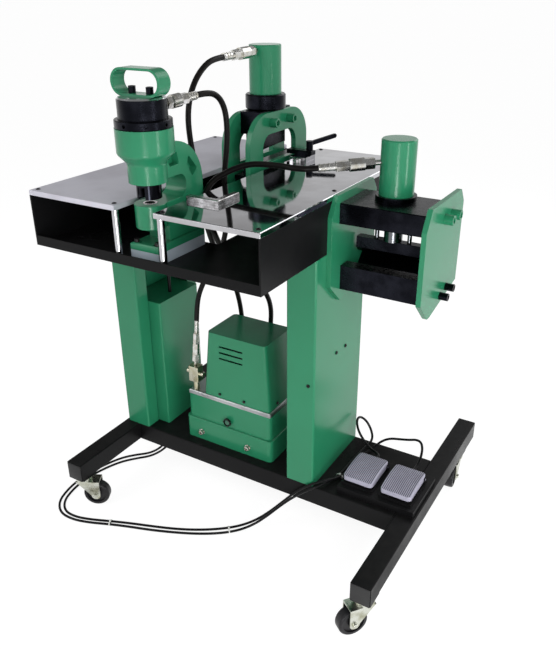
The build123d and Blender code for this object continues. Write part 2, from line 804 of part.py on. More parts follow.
# Collar: black lock nut under the cylinder
with BuildPart() as cutter_collar:
    upright(cutter_x, cutter_y, collar_bottom, collar_top, cutter_collar_diameter / 2)
    chamfer(cutter_collar.edges().filter_by(GeomType.CIRCLE), cutter_collar_edge)
    upright(cutter_x, cutter_y, collar_bottom - overrun, collar_top + overrun, cutter_bore, Mode.SUBTRACT)
save(cutter_collar.part, "cutter_collar")

# Cylinder: painted tube, closed at the top
cylinder_top = collar_top + cutter_cylinder_height
with BuildPart() as cutter_cylinder:
    upright(cutter_x, cutter_y, collar_top, cylinder_top, cutter_cylinder_diameter / 2)
    chamfer(cutter_cylinder.faces().sort_by(Axis.Z)[-1].edges(), cutter_cylinder_edge)
    upright(
        cutter_x, cutter_y, collar_top - overrun, cylinder_top - cutter_cylinder_roof, cutter_bore, Mode.SUBTRACT,
    )
save(cutter_cylinder.part, "cutter_cylinder")

# Blade: ram, holder and raked blade, moving as one
holder_top = window_top - clearance
holder_bottom = holder_top - cutter_holder_height
blade_left = cutter_x - cutter_blade_thickness
with BuildPart() as cutter_blade:
    upright(cutter_x, cutter_y, holder_top, holder_top + cutter_ram_length, cutter_ram_diameter / 2)
    span_box(
        (cutter_x - cutter_holder_thickness / 2, cutter_x + cutter_holder_thickness / 2),
        (cutter_y - cutter_holder_width / 2, cutter_y + cutter_holder_width / 2),
        (holder_bottom, holder_top),
    )
    with BuildSketch(Plane.YZ.offset(blade_left)):
        with BuildLine():
            Polyline(
                (cutter_y - cutter_holder_width / 2, holder_bottom),
                (cutter_y - cutter_holder_width / 2, holder_bottom - cutter_blade_height),
                (cutter_y + cutter_holder_width / 2, holder_bottom - cutter_blade_height + cutter_blade_rake),
                (cutter_y + cutter_holder_width / 2, holder_bottom),
                close=True,
            )
        make_face()
    extrude(amount=cutter_blade_thickness)
save(cutter_blade.part, "cutter_blade")

# Lower blade: stepped block that the bar rests on and is sheared against
with BuildPart() as cutter_lower_blade:
    span_box(
        (cutter_x - cutter_plate_gap / 2, cutter_x + cutter_plate_gap / 2),
        (cutter_y - cutter_anvil_width / 2, cutter_y + cutter_anvil_width / 2),
        (box_floor, window_bottom),
    )
    span_box(
        (cutter_x - cutter_plate_gap, cutter_x + clearance),
        (cutter_y - cutter_anvil_width, cutter_y + cutter_anvil_width),
        (window_bottom - cutter_anvil_step, window_bottom + overrun),
        Mode.SUBTRACT,
    )
save(cutter_lower_blade.part, "cutter_lower_blade")

# Hold-down clamp: bright base, black arm to the cutter, and a swinging lever
arm_bottom = table_height + clamp_base_height
arm_top = arm_bottom + clamp_arm_thickness
with BuildPart() as clamp_base:
    span_box(
        (clamp_x - clamp_base_length + clamp_arm_tail, clamp_x + clamp_arm_tail),
        (clamp_y - clamp_base_width + clamp_arm_width / 2, clamp_y + clamp_arm_width / 2),
        (table_height, arm_bottom),
    )
    chamfer(clamp_base.edges().filter_by(Axis.Z), top_plate_edge)
save(clamp_base.part, "clamp_base")

with BuildPart() as clamp_arm:
    span_box(
        (cutter_x + cutter_outer + clamp_arm_end_gap, clamp_x + clamp_arm_tail),
        (clamp_y - clamp_arm_width / 2, clamp_y + clamp_arm_width / 2),
        (arm_bottom, arm_top),
    )
    chamfer(clamp_arm.faces().sort_by(Axis.Z)[-1].edges(), top_plate_edge)
save(clamp_arm.part, "clamp_arm")

lever_low = arm_top + clearance
lever_top = lever_low + lever_hub_height
lever_dir = Vector(math.cos(math.radians(lever_heading)), math.sin(math.radians(lever_heading)), 0)
lever_start = Vector(clamp_x, clamp_y, lever_top - lever_arm_thickness)
lever_end = lever_start + lever_dir * lever_arm_length + Vector(0, 0, lever_rise)
with BuildPart() as clamp_lever:
    upright(clamp_x, clamp_y, lever_low, lever_top, lever_hub_diameter / 2)
    with BuildSketch(Plane(lever_start, z_dir=lever_end - lever_start)):
        Rectangle(lever_arm_thickness, lever_arm_width)
    with BuildSketch(Plane(lever_end, z_dir=lever_end - lever_start)):
        Rectangle(lever_arm_thickness, lever_arm_width)
    loft()
    with Locations(lever_end):
        Sphere(lever_arm_width / 2 + clearance)
save(clamp_lever.part, "clamp_lever")

# Angle stop: bright square bar bent to a right angle, lying on the right plate
with BuildPart() as angle_stop:
    span_box((stop_x, stop_x + stop_length), (stop_y, stop_y + stop_bar), (table_height, table_height + stop_height))
    span_box(
        (stop_x + stop_length - stop_bar, stop_x + stop_length),
        (stop_y, stop_y + stop_depth),
        (table_height, table_height + stop_height),
    )
    chamfer(angle_stop.faces().sort_by(Axis.Z)[-1].edges(), top_plate_edge)
save(angle_stop.part, "angle_stop")


# Bender side plates: green steel with every corner cut off
def bender_plate(x):
    front_top, front_low, back_low, back_top = (
        (y * bender_plate_depth, z * bender_plate_height) for y, z in bender_chamfer_shares
    )
    with BuildPart() as plate:
        with BuildSketch(Plane.YZ.offset(x)):
            with BuildLine():
                Polyline(
                    (bender_front_y, bender_bottom + front_low[1]),
                    (bender_front_y + front_low[0], bender_bottom),
                    (bender_back_y - back_low[0], bender_bottom),
                    (bender_back_y, bender_bottom + back_low[1]),
                    (bender_back_y, table_height - back_top[1]),
                    (bender_back_y - back_top[0], table_height),
                    (bender_front_y + front_top[0], table_height),
                    (bender_front_y, table_height - front_top[1]),
                    close=True,
                )
            make_face()
        extrude(amount=bender_plate_thickness)
    return plate.part


save(bender_plate(table_right), "bender_inner_plate")
save(bender_plate(bender_outer), "bender_outer_plate")

# Top beam: black crosshead with a round boss under the cylinder
bender_bore = bender_ram_diameter / 2 + clearance
guide_places = [bender_x - bender_guide_spacing / 2, bender_x + bender_guide_spacing / 2]
with BuildPart() as bender_top_beam:
    span_box(
        (bender_inner, bender_outer),
        (bender_axis_y + bender_beam_back - bender_beam_depth, bender_axis_y + bender_beam_back),
        (beam_bottom, beam_top),
    )
    chamfer(bender_top_beam.edges().filter_by(Axis.X), bender_beam_edge)
    upright(bender_x, bender_axis_y, beam_top, bender_boss_top, bender_boss_diameter / 2)
    upright(bender_x, bender_axis_y, beam_bottom - overrun, bender_boss_top + overrun, bender_bore, Mode.SUBTRACT)
    for x in guide_places:
        upright(
            x, bender_axis_y, beam_bottom - overrun, beam_top + overrun,
            bender_guide_diameter / 2 + clearance, Mode.SUBTRACT,
        )
save(bender_top_beam.part, "bender_top_beam")

# Cylinder: painted tube, closed at the top
bender_cylinder_top = bender_boss_top + bender_cylinder_height
with BuildPart() as bender_cylinder:
    upright(bender_x, bender_axis_y, bender_boss_top, bender_cylinder_top, bender_cylinder_diameter / 2)
    chamfer(bender_cylinder.faces().sort_by(Axis.Z)[-1].edges(), bender_cylinder_edge)
    upright(
        bender_x, bender_axis_y, bender_boss_top - overrun, bender_cylinder_top - bender_cylinder_roof,
        bender_bore, Mode.SUBTRACT,
    )
save(bender_cylinder.part, "bender_cylinder")

# Bender ram: rod, two guide pins and the edged punch bar
punch_tip = die_top + bender_die_gap
punch_shoulder = punch_tip + bender_punch_thickness / 2
punch_bar_top = punch_tip + bender_punch_height
with BuildPart() as bender_ram:
    with BuildSketch(Plane.YZ.offset(bender_x - bender_punch_width / 2)):
        with BuildLine():
            Polyline(
                (bender_axis_y, punch_tip),
                (bender_axis_y + bender_punch_thickness / 2, punch_shoulder),
                (bender_axis_y + bender_punch_thickness / 2, punch_bar_top),
                (bender_axis_y - bender_punch_thickness / 2, punch_bar_top),
                (bender_axis_y - bender_punch_thickness / 2, punch_shoulder),
                close=True,
            )
        make_face()
    extrude(amount=bender_punch_width)
    upright(bender_x, bender_axis_y, punch_bar_top, punch_tip + bender_ram_length, bender_ram_diameter / 2)
    for x in guide_places:
        upright(x, bender_axis_y, punch_bar_top, beam_top - bender_beam_edge, bender_guide_diameter / 2)
save(bender_ram.part, "bender_ram")

# Die: long black block with a right-angled groove
with BuildPart() as bender_die:
    with BuildSketch(Plane.YZ.offset(bender_inner)):
        with BuildLine():
            Polyline(
                (bender_axis_y - bender_die_depth / 2, die_bottom),
                (bender_axis_y + bender_die_depth / 2, die_bottom),
                (bender_axis_y + bender_die_depth / 2, die_top),
                (bender_axis_y + bender_die_groove / 2, die_top),
                (bender_axis_y, die_top - bender_die_groove / 2),
                (bender_axis_y - bender_die_groove / 2, die_top),
                (bender_axis_y - bender_die_depth / 2, die_top),
                close=True,
            )
        make_face()
    extrude(amount=bender_span)
save(bender_die.part, "bender_die")


# Socket-head bolts, lying along +X or standing up
def socket_head(radius, length, plane):
    with BuildSketch(plane) as head:
        Circle(radius)
    extrude(head.sketch, amount=length)
    with BuildSketch(plane.offset(length)) as socket:
        RegularPolygon(2 * radius * socket_share, 6)
    extrude(socket.sketch, amount=-length * socket_depth_share, mode=Mode.SUBTRACT)


bolt_radius = socket_bolt_diameter / 2
with BuildPart() as green_bolts:
    for side in (-1, 1):
        for shift in (-cutter_bolt_spacing / 2, cutter_bolt_spacing / 2):
            seat = (cutter_x + side * cutter_outer, cutter_y + shift, cutter_top - cutter_bolt_drop)
            socket_head(bolt_radius, socket_bolt_length, Plane(seat, z_dir=(side, 0, 0)))
    beam_middle = beam_top - bender_beam_height / 2
    for y in (bender_axis_y - bender_bolt_inset, bender_axis_y + bender_beam_back - bender_bolt_inset):
        seat = (bender_face, y, beam_middle)
        socket_head(bolt_radius, socket_bolt_length, Plane(seat, z_dir=(1, 0, 0)))
save(green_bolts.part, "green_bolts")

with BuildPart() as black_bolts:
    for shift in (-handle_bolt_spacing / 2, handle_bolt_spacing / 2):
        seat = (punch_x + shift, punch_y, cap_top + handle_strip)
        socket_head(handle_bolt_diameter / 2, handle_bolt_length, Plane(seat, z_dir=(0, 0, 1)))
    for shift, rise in ((0, 0), (bender_pin_spacing, bender_pin_rise)):
        seat = (bender_face, bender_axis_y + shift, die_bottom + rise)
        socket_head(bender_pin_diameter / 2, bender_pin_length, Plane(seat, z_dir=(1, 0, 0)))
save(black_bolts.part, "black_bolts")

# Oil tank: stepped welded box with rounded corners
tank_step = base_top + tank_lower_height
with BuildPart() as oil_tank:
    span_box((tank_left_x, tank_right), (tank_front_y, tank_back), (base_top, tank_step))
    fillet(oil_tank.edges().filter_by(Axis.Z), tank_corner)
    fillet(oil_tank.faces().sort_by(Axis.Z)[-1].edges(), tank_edge)
    with BuildSketch(Plane.XY.offset(tank_step)):
        with Locations(((tank_left_x + tank_right) / 2, (tank_front_y + tank_back) / 2)):
            RectangleRounded(tank_length - 2 * tank_upper_inset, tank_depth - 2 * tank_upper_inset, tank_corner)
    extrude(amount=tank_upper_height)
save(oil_tank.part, "oil_tank")

# Pump plate: bare aluminium lid of the tank
with BuildPart() as pump_plate:
    span_box((plate_left, plate_right), (plate_front, plate_back), (tank_top, plate_top))
    chamfer(pump_plate.faces().sort_by(Axis.Z)[-1].edges(), top_plate_edge)
save(pump_plate.part, "pump_plate")

# Pump cover: drawn sheet hood, narrower at the top, with three louvre slots
cover_middle = ((cover_left + cover_right) / 2, (cover_front + cover_back) / 2)
cover_length = cover_right - cover_left
cover_top = plate_top + cover_height


def hood(shrink, low, high, mode):
    ends = []
    for height, draft in ((low, 0), (high, cover_draft)):
        with BuildSketch(Plane.XY.offset(height)) as end:
            with Locations(cover_middle):
                RectangleRounded(
                    cover_length - 2 * draft - 2 * shrink, cover_depth - draft - 2 * shrink, cover_corner - shrink
                )
        ends.append(end.sketch)
    loft(ends, mode=mode)


with BuildPart() as pump_cover:
    hood(0, plate_top, cover_top, Mode.ADD)
    hood(cover_sheet, plate_top, cover_top - cover_sheet, Mode.SUBTRACT)
    for row in range(louvre_count):
        z = plate_top + cover_height * louvre_top_share - row * louvre_pitch
        middle_x = cover_middle[0] - cover_draft
        span_box(
            (middle_x - louvre_length / 2, middle_x + louvre_length / 2),
            (cover_front - overrun, cover_front + cover_draft + overrun),
            (z - louvre_height, z),
            Mode.SUBTRACT,
        )
save(pump_cover.part, "pump_cover")

# Pump motor: flanged can on the plate, under the cover
with BuildPart() as pump_motor:
    upright(*cover_middle, plate_top, plate_top + motor_flange_height, motor_flange_diameter / 2)
    upright(*cover_middle, plate_top + motor_flange_height, plate_top + motor_height, motor_diameter / 2)
save(pump_motor.part, "pump_motor")

# Manifold: three-way steel block on a short pipe
with BuildPart() as manifold:
    upright(manifold_x, manifold_y, plate_top, plate_top + manifold_lift, manifold_pipe_diameter / 2)
    span_box(
        (manifold_x - manifold_width / 2, manifold_x + manifold_width / 2),
        (manifold_y - manifold_depth / 2, manifold_y + manifold_depth / 2),
        (plate_top + manifold_lift, manifold_top),
    )
    chamfer(manifold.edges().filter_by(Axis.Z), top_plate_edge)
    for side in (-1, 1):
        seat = (manifold_x + side * manifold_width / 2, manifold_y, manifold_top - manifold_height / 2)
        with BuildSketch(Plane(seat, z_dir=(side, 0, 0))):
            Circle(manifold_plug_diameter / 2)
        extrude(amount=manifold_plug_length)
save(manifold.part, "manifold")


# Hose couplings: neck, swivel nut, body, collar and crimped sleeve along one axis
def coupling(start, end, girth):
    length = (end - start).length
    plane = Plane(start, z_dir=end - start)
    hexagons = (coupling_nut_radius, coupling_collar_radius)
    rounds = (coupling_neck_radius, coupling_body_radius, coupling_sleeve_radius)
    radii = (rounds[0], hexagons[0], rounds[1], hexagons[1], rounds[2])
    done = 0
    for radius, share in zip(radii, coupling_step_shares):
        with BuildSketch(plane.offset(done * length)) as step:
            if radius in hexagons:
                RegularPolygon(radius * girth, 6)
            else:
                Circle(radius * girth)
        extrude(step.sketch, amount=share * length)
        done += share


def head_coupling(axis, radius, heading, reach, slope):
    """Coupling that stands out from the side of an upright cylinder to its hose."""
    outward = Vector(math.cos(math.radians(heading)), math.sin(math.radians(heading)), slope)
    flat = Vector(outward.X, outward.Y, 0)
    end = Vector(*axis) + flat * reach
    seat = radius + seat_gap + coupling_neck_radius * abs(slope)
    coupling(end - outward * (reach - seat), end, 1)


with BuildPart() as hose_couplings:
    head_coupling(
        (punch_x, punch_y, cap_top - punch_port_drop),
        cap_diameter / 2, punch_port_heading, punch_port_reach, punch_port_slope_share,
    )
    head_coupling(
        (cutter_x, cutter_y, cylinder_top - cutter_port_drop),
        cutter_cylinder_diameter / 2, cutter_port_heading, cutter_port_reach, cutter_port_slope_share,
    )
    head_coupling(
        (bender_x, bender_axis_y, bender_cylinder_top - bender_port_drop),
        bender_cylinder_diameter / 2, bender_port_heading, bender_port_reach, bender_port_slope_share,
    )
    last_run = Vector(*punch_hose_route[-2]) - Vector(*punch_hose_route[-1])
    lean = math.hypot(last_run.X, last_run.Y) / last_run.Z
    stack_foot = manifold_top + seat_gap + coupling_neck_radius * lean
    stack_top = Vector(*punch_hose_route[-1])
    stack_start = stack_top - last_run * ((stack_top.Z - stack_foot) / last_run.Z)
    coupling(stack_start, stack_top, pump_coupling_share)
    for route in (cutter_hose_route, bender_hose_route):
        hose_end = Vector(*route[-1])
        coupling(Vector(hose_end.X, hose_end.Y, plate_top), hose_end, pump_coupling_share)
save(hose_couplings.part, "hose_couplings")

# Pedal plate: shallow lid across the tray and the right leg, with two switch bases
pedal_centres = (pedal_left_centre_x, pedal_left_centre_x + pedal_spacing)
with BuildPart() as pedal_plate:
    plate_xs = (pedal_plate_left_x, pedal_plate_left_x + pedal_plate_length)
    plate_ys = (pedal_plate_front_y, pedal_plate_front_y + pedal_plate_depth)
    span_box(plate_xs, plate_ys, (base_top, pedal_floor))
    span_box(
        (plate_xs[0] + pedal_plate_sheet, plate_xs[1] - pedal_plate_sheet),
        (plate_ys[0] + pedal_plate_sheet, plate_ys[1] - pedal_plate_sheet),
        (base_top - overrun, pedal_floor - pedal_plate_sheet),
        Mode.SUBTRACT,
    )
    for x in pedal_centres:
        span_box(
            (x - pedal_width / 2 - pedal_base_margin, x + pedal_width / 2 + pedal_base_margin),
            (pedal_front_y - pedal_base_margin, pedal_gland_y),
            (pedal_floor, pedal_base_top),
        )
        lug_z = pedal_bottom + pedal_hinge_lift
        for side in (-1, 1):
            lug_x = x + side * (pedal_width / 2 + pedal_base_margin / 2 + clearance)
            half = pedal_base_margin / 2
            span_box(
                (lug_x - half, lug_x + half),
                (pedal_hinge_y - pedal_hinge_diameter, pedal_hinge_y + pedal_hinge_diameter),
                (pedal_base_top, lug_z + pedal_hinge_diameter),
            )
        with Locations((x, pedal_hinge_y, lug_z)):
            Cylinder(
                pedal_hinge_diameter / 2 + axle_clearance, pedal_width + 2 * gland_length,
                rotation=(0, 90, 0), mode=Mode.SUBTRACT,
            )
        gland = Plane((x, pedal_gland_y, pedal_base_top + pedal_gland_lift - pedal_base_height / 2), z_dir=(0, 1, 0))
        with BuildSketch(gland):
            Circle(pedal_gland_lift)
        extrude(amount=gland_length)
save(pedal_plate.part, "pedal_plate")


# Pedals: crowned, ribbed treads on a hinge pin near their back edge
def pedal():
    low = pedal_bottom
    front = (pedal_front_y, low + pedal_front_height)
    crown = (pedal_front_y + pedal_depth * pedal_crown_share, low + pedal_crown_height)
    back = (pedal_back_y, low + pedal_back_height)
    rows = [pedal_front_y + pedal_corner, pedal_back_y - pedal_corner]
    pitch = (pedal_width - 2 * pedal_corner) / (pedal_rib_count - 1)
    with BuildPart() as tread:
        with BuildSketch(Plane.YZ):
            with BuildLine():
                top = ThreePointArc(front, crown, back)
                Polyline(top @ 1, (pedal_back_y, low), (pedal_front_y, low), top @ 0)
            make_face()
        extrude(amount=pedal_width / 2, both=True)
        fillet(tread.edges().filter_by(Axis.Z), pedal_corner)
        fillet(tread.faces().sort_by(Axis.Z)[-1].edges(), pedal_edge)
        for rib in range(pedal_rib_count):
            groove_x = pedal_corner - pedal_width / 2 + rib * pitch
            with BuildSketch(Plane.YZ.offset(groove_x)):
                with BuildLine():
                    floor = ThreePointArc(
                        *((y, z - pedal_rib_depth) for y, z in (front, crown, back))
                    )
                    roof = low + pedal_crown_height + overrun
                    Polyline(floor @ 1, (back[0], roof), (front[0], roof), floor @ 0)
                make_face()
                with Locations(((rows[0] + rows[1]) / 2, low)):
                    Rectangle(rows[1] - rows[0], 2 * (pedal_crown_height + overrun), mode=Mode.INTERSECT)
            extrude(amount=pedal_groove_width / 2, both=True, mode=Mode.SUBTRACT)
        with Locations((0, pedal_hinge_y, low + pedal_hinge_lift)):
            Cylinder(pedal_hinge_diameter / 2, pedal_width + 2 * pedal_base_margin, rotation=(0, 90, 0))
    return tread.part


for x, name in zip(pedal_centres, ("left_pedal", "right_pedal")):
    save(pedal().moved(Location((x, 0, 0))), name)


# Casters: zinc fork with its axle, and a dished rubber wheel
def fork():
    axle_z = wheel_radius
    half = fork_gap / 2 + fork_sheet
    crown_back = -caster_trail - fork_eye_radius
    with BuildPart() as body:
        upright(0, 0, fork_crown_height, caster_height - caster_pad_thickness - clearance, swivel_race_diameter / 2)
        span_box((-half, half), (crown_back, fork_front), (fork_crown_height - fork_sheet, fork_crown_height))
        for side in (-1, 1):
            with BuildSketch(Plane.YZ.offset(side * fork_gap / 2)):
                with BuildLine():
                    Polyline(
                        (fork_front, fork_crown_height),
                        (crown_back, fork_crown_height),
                        (-caster_trail - fork_eye_radius, axle_z),
                        (-caster_trail + fork_eye_radius, axle_z),
                        close=True,
                    )
                make_face()
                with Locations((-caster_trail, axle_z)):
                    Circle(fork_eye_radius)
            extrude(amount=side * fork_sheet)
        with BuildSketch(Plane.YZ):
            with Locations((-caster_trail, axle_z)):
                Circle(axle_diameter / 2)
        extrude(amount=half + axle_head_length, both=True)
        for side in (-1, 1):
            with BuildSketch(Plane.YZ.offset(side * half)):
                with Locations((-caster_trail, axle_z)):
                    Circle(axle_head_radius)
            extrude(amount=side * axle_head_length)
    return body.part


def wheel():
    axis = Axis((0, -caster_trail, wheel_radius), (1, 0, 0))
    hub_half = fork_gap / 2 - clearance
    bore = axle_diameter / 2 + axle_clearance
    rim = wheel_width / 2
    base = wheel_radius
    with BuildPart() as body:
        with BuildSketch(Plane.XY.offset(base)):
            with BuildLine():
                side = Polyline(
                    (0, bore - caster_trail),
                    (hub_half, bore - caster_trail),
                    (hub_half, wheel_hub_radius - caster_trail),
                    (rim - wheel_dish_depth, wheel_hub_radius - caster_trail),
                    (rim - wheel_dish_depth, wheel_dish_radius - caster_trail),
                    (rim, wheel_dish_radius - caster_trail),
                    (rim, wheel_radius - wheel_shoulder - caster_trail),
                )
                tread = RadiusArc(
                    side @ 1, (rim - wheel_shoulder, wheel_radius - caster_trail), -wheel_shoulder
                )
                top = Line(tread @ 1, (0, wheel_radius - caster_trail))
                Line(top @ 1, side @ 0)
            make_face()
            mirror(about=Plane.YZ)
        revolve(axis=axis)
    return body.part


for name, turn in caster_turns.items():
    x = leg_x if name.endswith("right") else -leg_x
    y = front_caster_y if name.startswith("front") else rear_caster_y
    place = Location((x, y, 0), (0, 0, turn))
    save(fork().moved(place), f"caster_fork_{name}")
    save(wheel().moved(place), f"caster_wheel_{name}")


# Hoses and cables: round tubes along straight runs joined by wide arcs
def tube(route, diameter, name):
    points = [Vector(*point) for point in route]
    radii = []
    for before, point, after in zip(points, points[1:], points[2:]):
        turn = (point - before).get_angle(after - point)
        shorter = min((point - before).length, (after - point).length)
        radii.append(bend_share * shorter / math.tan(math.radians(turn) / 2))
    with BuildPart() as cord:
        with BuildLine() as path:
            FilletPolyline(*points, radius=radii)
        with BuildSketch(Plane(points[0], z_dir=points[1] - points[0])):
            Circle(diameter / 2)
        sweep()
    expected = math.pi * diameter**2 / 4 * path.wire().length
    print(name, "length", round(path.wire().length), "volume share", round(cord.part.volume / expected, 4))
    print("  radii", [round(radius) for radius in radii])
    save(cord.part, name)


tube(punch_hose_route, hose_diameter, "punch_hose")
tube(cutter_hose_route, hose_diameter, "cutter_hose")
tube(bender_hose_route, hose_diameter, "bender_hose")
tube(left_cord_route, cord_diameter, "left_pedal_cord")
tube(right_cord_route, cord_diameter, "right_pedal_cord")
tube(control_cable_route, control_cable_diameter, "control_cable")
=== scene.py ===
import math

import bmesh
import bpy
from mathutils import Matrix, Vector


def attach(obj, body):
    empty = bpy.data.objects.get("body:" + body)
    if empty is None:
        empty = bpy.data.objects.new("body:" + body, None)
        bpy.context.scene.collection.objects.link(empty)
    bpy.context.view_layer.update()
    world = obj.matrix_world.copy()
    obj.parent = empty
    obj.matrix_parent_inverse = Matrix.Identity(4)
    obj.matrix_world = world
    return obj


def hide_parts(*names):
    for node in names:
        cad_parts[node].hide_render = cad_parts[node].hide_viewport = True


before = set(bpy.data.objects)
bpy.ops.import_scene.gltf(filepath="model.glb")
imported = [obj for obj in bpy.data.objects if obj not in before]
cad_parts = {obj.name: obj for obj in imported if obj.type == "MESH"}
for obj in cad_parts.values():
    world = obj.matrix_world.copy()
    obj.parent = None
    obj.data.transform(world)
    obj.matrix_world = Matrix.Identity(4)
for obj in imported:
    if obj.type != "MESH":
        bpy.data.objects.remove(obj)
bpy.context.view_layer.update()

bpy.context.scene.view_settings.view_transform = "Standard"


# Legs and tray: square steel tube and folded sheet, welded and powder coated
# satin black. The coat has a fine orange peel, and dust settles on what faces up.
def new_material(name):
    material = bpy.data.materials.new(name)
    material.use_nodes = True
    shader = material.node_tree.nodes["Principled BSDF"]
    return material, material.node_tree, shader


def add_node(tree, kind, **settings):
    node = tree.nodes.new(kind)
    for key, value in settings.items():
        setattr(node, key, value)
    return node


def linear(red, green, blue):
    """A colour written as 0 to 255 screen values, as the shaders need it."""
    values = []
    for channel in (red, green, blue):
        share = channel / 255
        values.append(share / 12.92 if share <= 0.04045 else ((share + 0.055) / 1.055) ** 2.4)
    return (*values, 1.0)


def coat_group():
    """Orange peel height, cloudy tone mask and dust mask of a sprayed coat."""
    group = bpy.data.node_groups.new("sprayed_coat", "ShaderNodeTree")
    for name, low in (("Peel Scale", 900.0), ("Cloud Scale", 6.0), ("Dust", 0.3)):
        socket = group.interface.new_socket(name, in_out="INPUT", socket_type="NodeSocketFloat")
        socket.default_value = low
    for name in ("Peel", "Cloud", "Dust"):
        group.interface.new_socket(name, in_out="OUTPUT", socket_type="NodeSocketFloat")
    given = add_node(group, "NodeGroupInput")
    out = add_node(group, "NodeGroupOutput")
    place = add_node(group, "ShaderNodeTexCoord")
    peel = add_node(group, "ShaderNodeTexNoise")
    cloud = add_node(group, "ShaderNodeTexNoise")
    speck = add_node(group, "ShaderNodeTexNoise")
    surface = add_node(group, "ShaderNodeNewGeometry")
    upward = add_node(group, "ShaderNodeSeparateXYZ")
    settle = add_node(group, "ShaderNodeMapRange", interpolation_type="SMOOTHSTEP")
    mottle = add_node(group, "ShaderNodeMapRange")
    both = add_node(group, "ShaderNodeMath", operation="MULTIPLY")
    amount = add_node(group, "ShaderNodeMath", operation="MULTIPLY")
    peel.inputs["Detail"].default_value = 1.5
    cloud.inputs["Detail"].default_value = 4.0
    speck.inputs["Scale"].default_value = 55.0
    speck.inputs["Detail"].default_value = 6.0
    settle.inputs["From Min"].default_value = 0.4
    settle.inputs["From Max"].default_value = 1.0
    mottle.inputs["From Min"].default_value = 0.35
    mottle.inputs["From Max"].default_value = 0.75
    for texture in (peel, cloud, speck):
        group.links.new(place.outputs["Object"], texture.inputs["Vector"])
    group.links.new(given.outputs["Peel Scale"], peel.inputs["Scale"])
    group.links.new(given.outputs["Cloud Scale"], cloud.inputs["Scale"])
    group.links.new(surface.outputs["Normal"], upward.inputs["Vector"])
    group.links.new(upward.outputs["Z"], settle.inputs["Value"])
    group.links.new(speck.outputs["Fac"], mottle.inputs["Value"])
    group.links.new(settle.outputs["Result"], both.inputs[0])
    group.links.new(mottle.outputs["Result"], both.inputs[1])
    group.links.new(both.outputs["Value"], amount.inputs[0])
    group.links.new(given.outputs["Dust"], amount.inputs[1])
    group.links.new(peel.outputs["Fac"], out.inputs["Peel"])
    group.links.new(cloud.outputs["Fac"], out.inputs["Cloud"])
    group.links.new(amount.outputs["Value"], out.inputs["Dust"])
    return group


sprayed_coat = coat_group()


def broken_edges(tree, bump, radius):
    """Round off sharp edges in the shading, as a coat or a file does."""
    edge = add_node(tree, "ShaderNodeBevel", samples=4)
    edge.inputs["Radius"].default_value = radius
    tree.links.new(edge.outputs["Normal"], bump.inputs["Normal"])


def sprayed(name, colour, shade, dust_colour, roughness, spread, peel_scale, peel_height, dust, sheen):
    """Paint whose tone drifts between two colours, with peel in the gloss."""
    material, tree, shader = new_material(name)
    finish = add_node(tree, "ShaderNodeGroup", node_tree=sprayed_coat)
    tone = add_node(tree, "ShaderNodeMix", data_type="RGBA")
    dusty = add_node(tree, "ShaderNodeMix", data_type="RGBA")
    bump = add_node(tree, "ShaderNodeBump")
    gloss = add_node(tree, "ShaderNodeMapRange")
    finish.inputs["Peel Scale"].default_value = peel_scale
    finish.inputs["Dust"].default_value = dust
    tone.inputs["A"].default_value = colour
    tone.inputs["B"].default_value = shade
    dusty.inputs["B"].default_value = dust_colour
    bump.inputs["Strength"].default_value = 0.25
    bump.inputs["Distance"].default_value = peel_height
    gloss.inputs["From Min"].default_value = 0.3
    gloss.inputs["From Max"].default_value = 0.7
    gloss.inputs["To Min"].default_value = roughness - spread
    gloss.inputs["To Max"].default_value = roughness + spread
    shader.inputs["Specular IOR Level"].default_value = sheen
    broken_edges(tree, bump, 0.0015)
    tree.links.new(finish.outputs["Cloud"], tone.inputs["Factor"])
    tree.links.new(tone.outputs["Result"], dusty.inputs["A"])
    tree.links.new(finish.outputs["Dust"], dusty.inputs["Factor"])
    tree.links.new(dusty.outputs["Result"], shader.inputs["Base Color"])
    tree.links.new(finish.outputs["Cloud"], gloss.inputs["Value"])
    tree.links.new(gloss.outputs["Result"], shader.inputs["Roughness"])
    tree.links.new(finish.outputs["Peel"], bump.inputs["Height"])
    tree.links.new(bump.outputs["Normal"], shader.inputs["Normal"])
    return material


def dress(material, *names):
    """Give the solids of some nodes their finish."""
    for name in names:
        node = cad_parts[name]
        node.data.materials.clear()
        node.data.materials.append(material)


black_coat = sprayed(
    "black_powder_coat", linear(13, 13, 14), linear(21, 21, 22), linear(66, 64, 62),
    roughness=0.38, spread=0.14, peel_scale=1100.0, peel_height=0.0004, dust=0.08, sheen=0.09,
)
dress(black_coat, "left_leg", "right_leg", "base_tray", "pedal_plate")

# Leg plates: a sheet welded over each open end of the two legs, a little smaller
# than the tube, with rounded corners.
def only(*parts):
    """Select these objects and nothing else."""
    bpy.ops.object.select_all(action="DESELECT")
    for part in parts:
        part.select_set(True)
    bpy.context.view_layer.objects.active = parts[0]


def copies_at(part, places):
    """Copies of a piece, each with its own mesh, set at each place and joined."""
    copies = []
    for place in places:
        copy = part.copy()
        copy.data = part.data.copy()
        copy.matrix_world = place @ part.matrix_world
        bpy.context.collection.objects.link(copy)
        copies.append(copy)
    bpy.data.objects.remove(part)
    only(*copies)
    bpy.ops.object.transform_apply(location=True, rotation=True, scale=True)
    if len(copies) > 1:
        bpy.ops.object.join()
    return copies[0]


def settle(part, name, body, slot, material):
    """Finish a piece: place into the mesh, smooth flanks, its finish and its body."""
    only(part)
    bpy.ops.object.transform_apply(location=True, rotation=True, scale=True)
    bpy.ops.object.shade_smooth_by_angle(angle=math.radians(35))
    part.name = name
    part.data.name = name
    part.data.materials.clear()
    part.data.materials.append(material)
    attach(part, body)


def shift(x, y, z):
    """A place in millimetres as a move."""
    return Matrix.Translation((x / 1000, y / 1000, z / 1000))


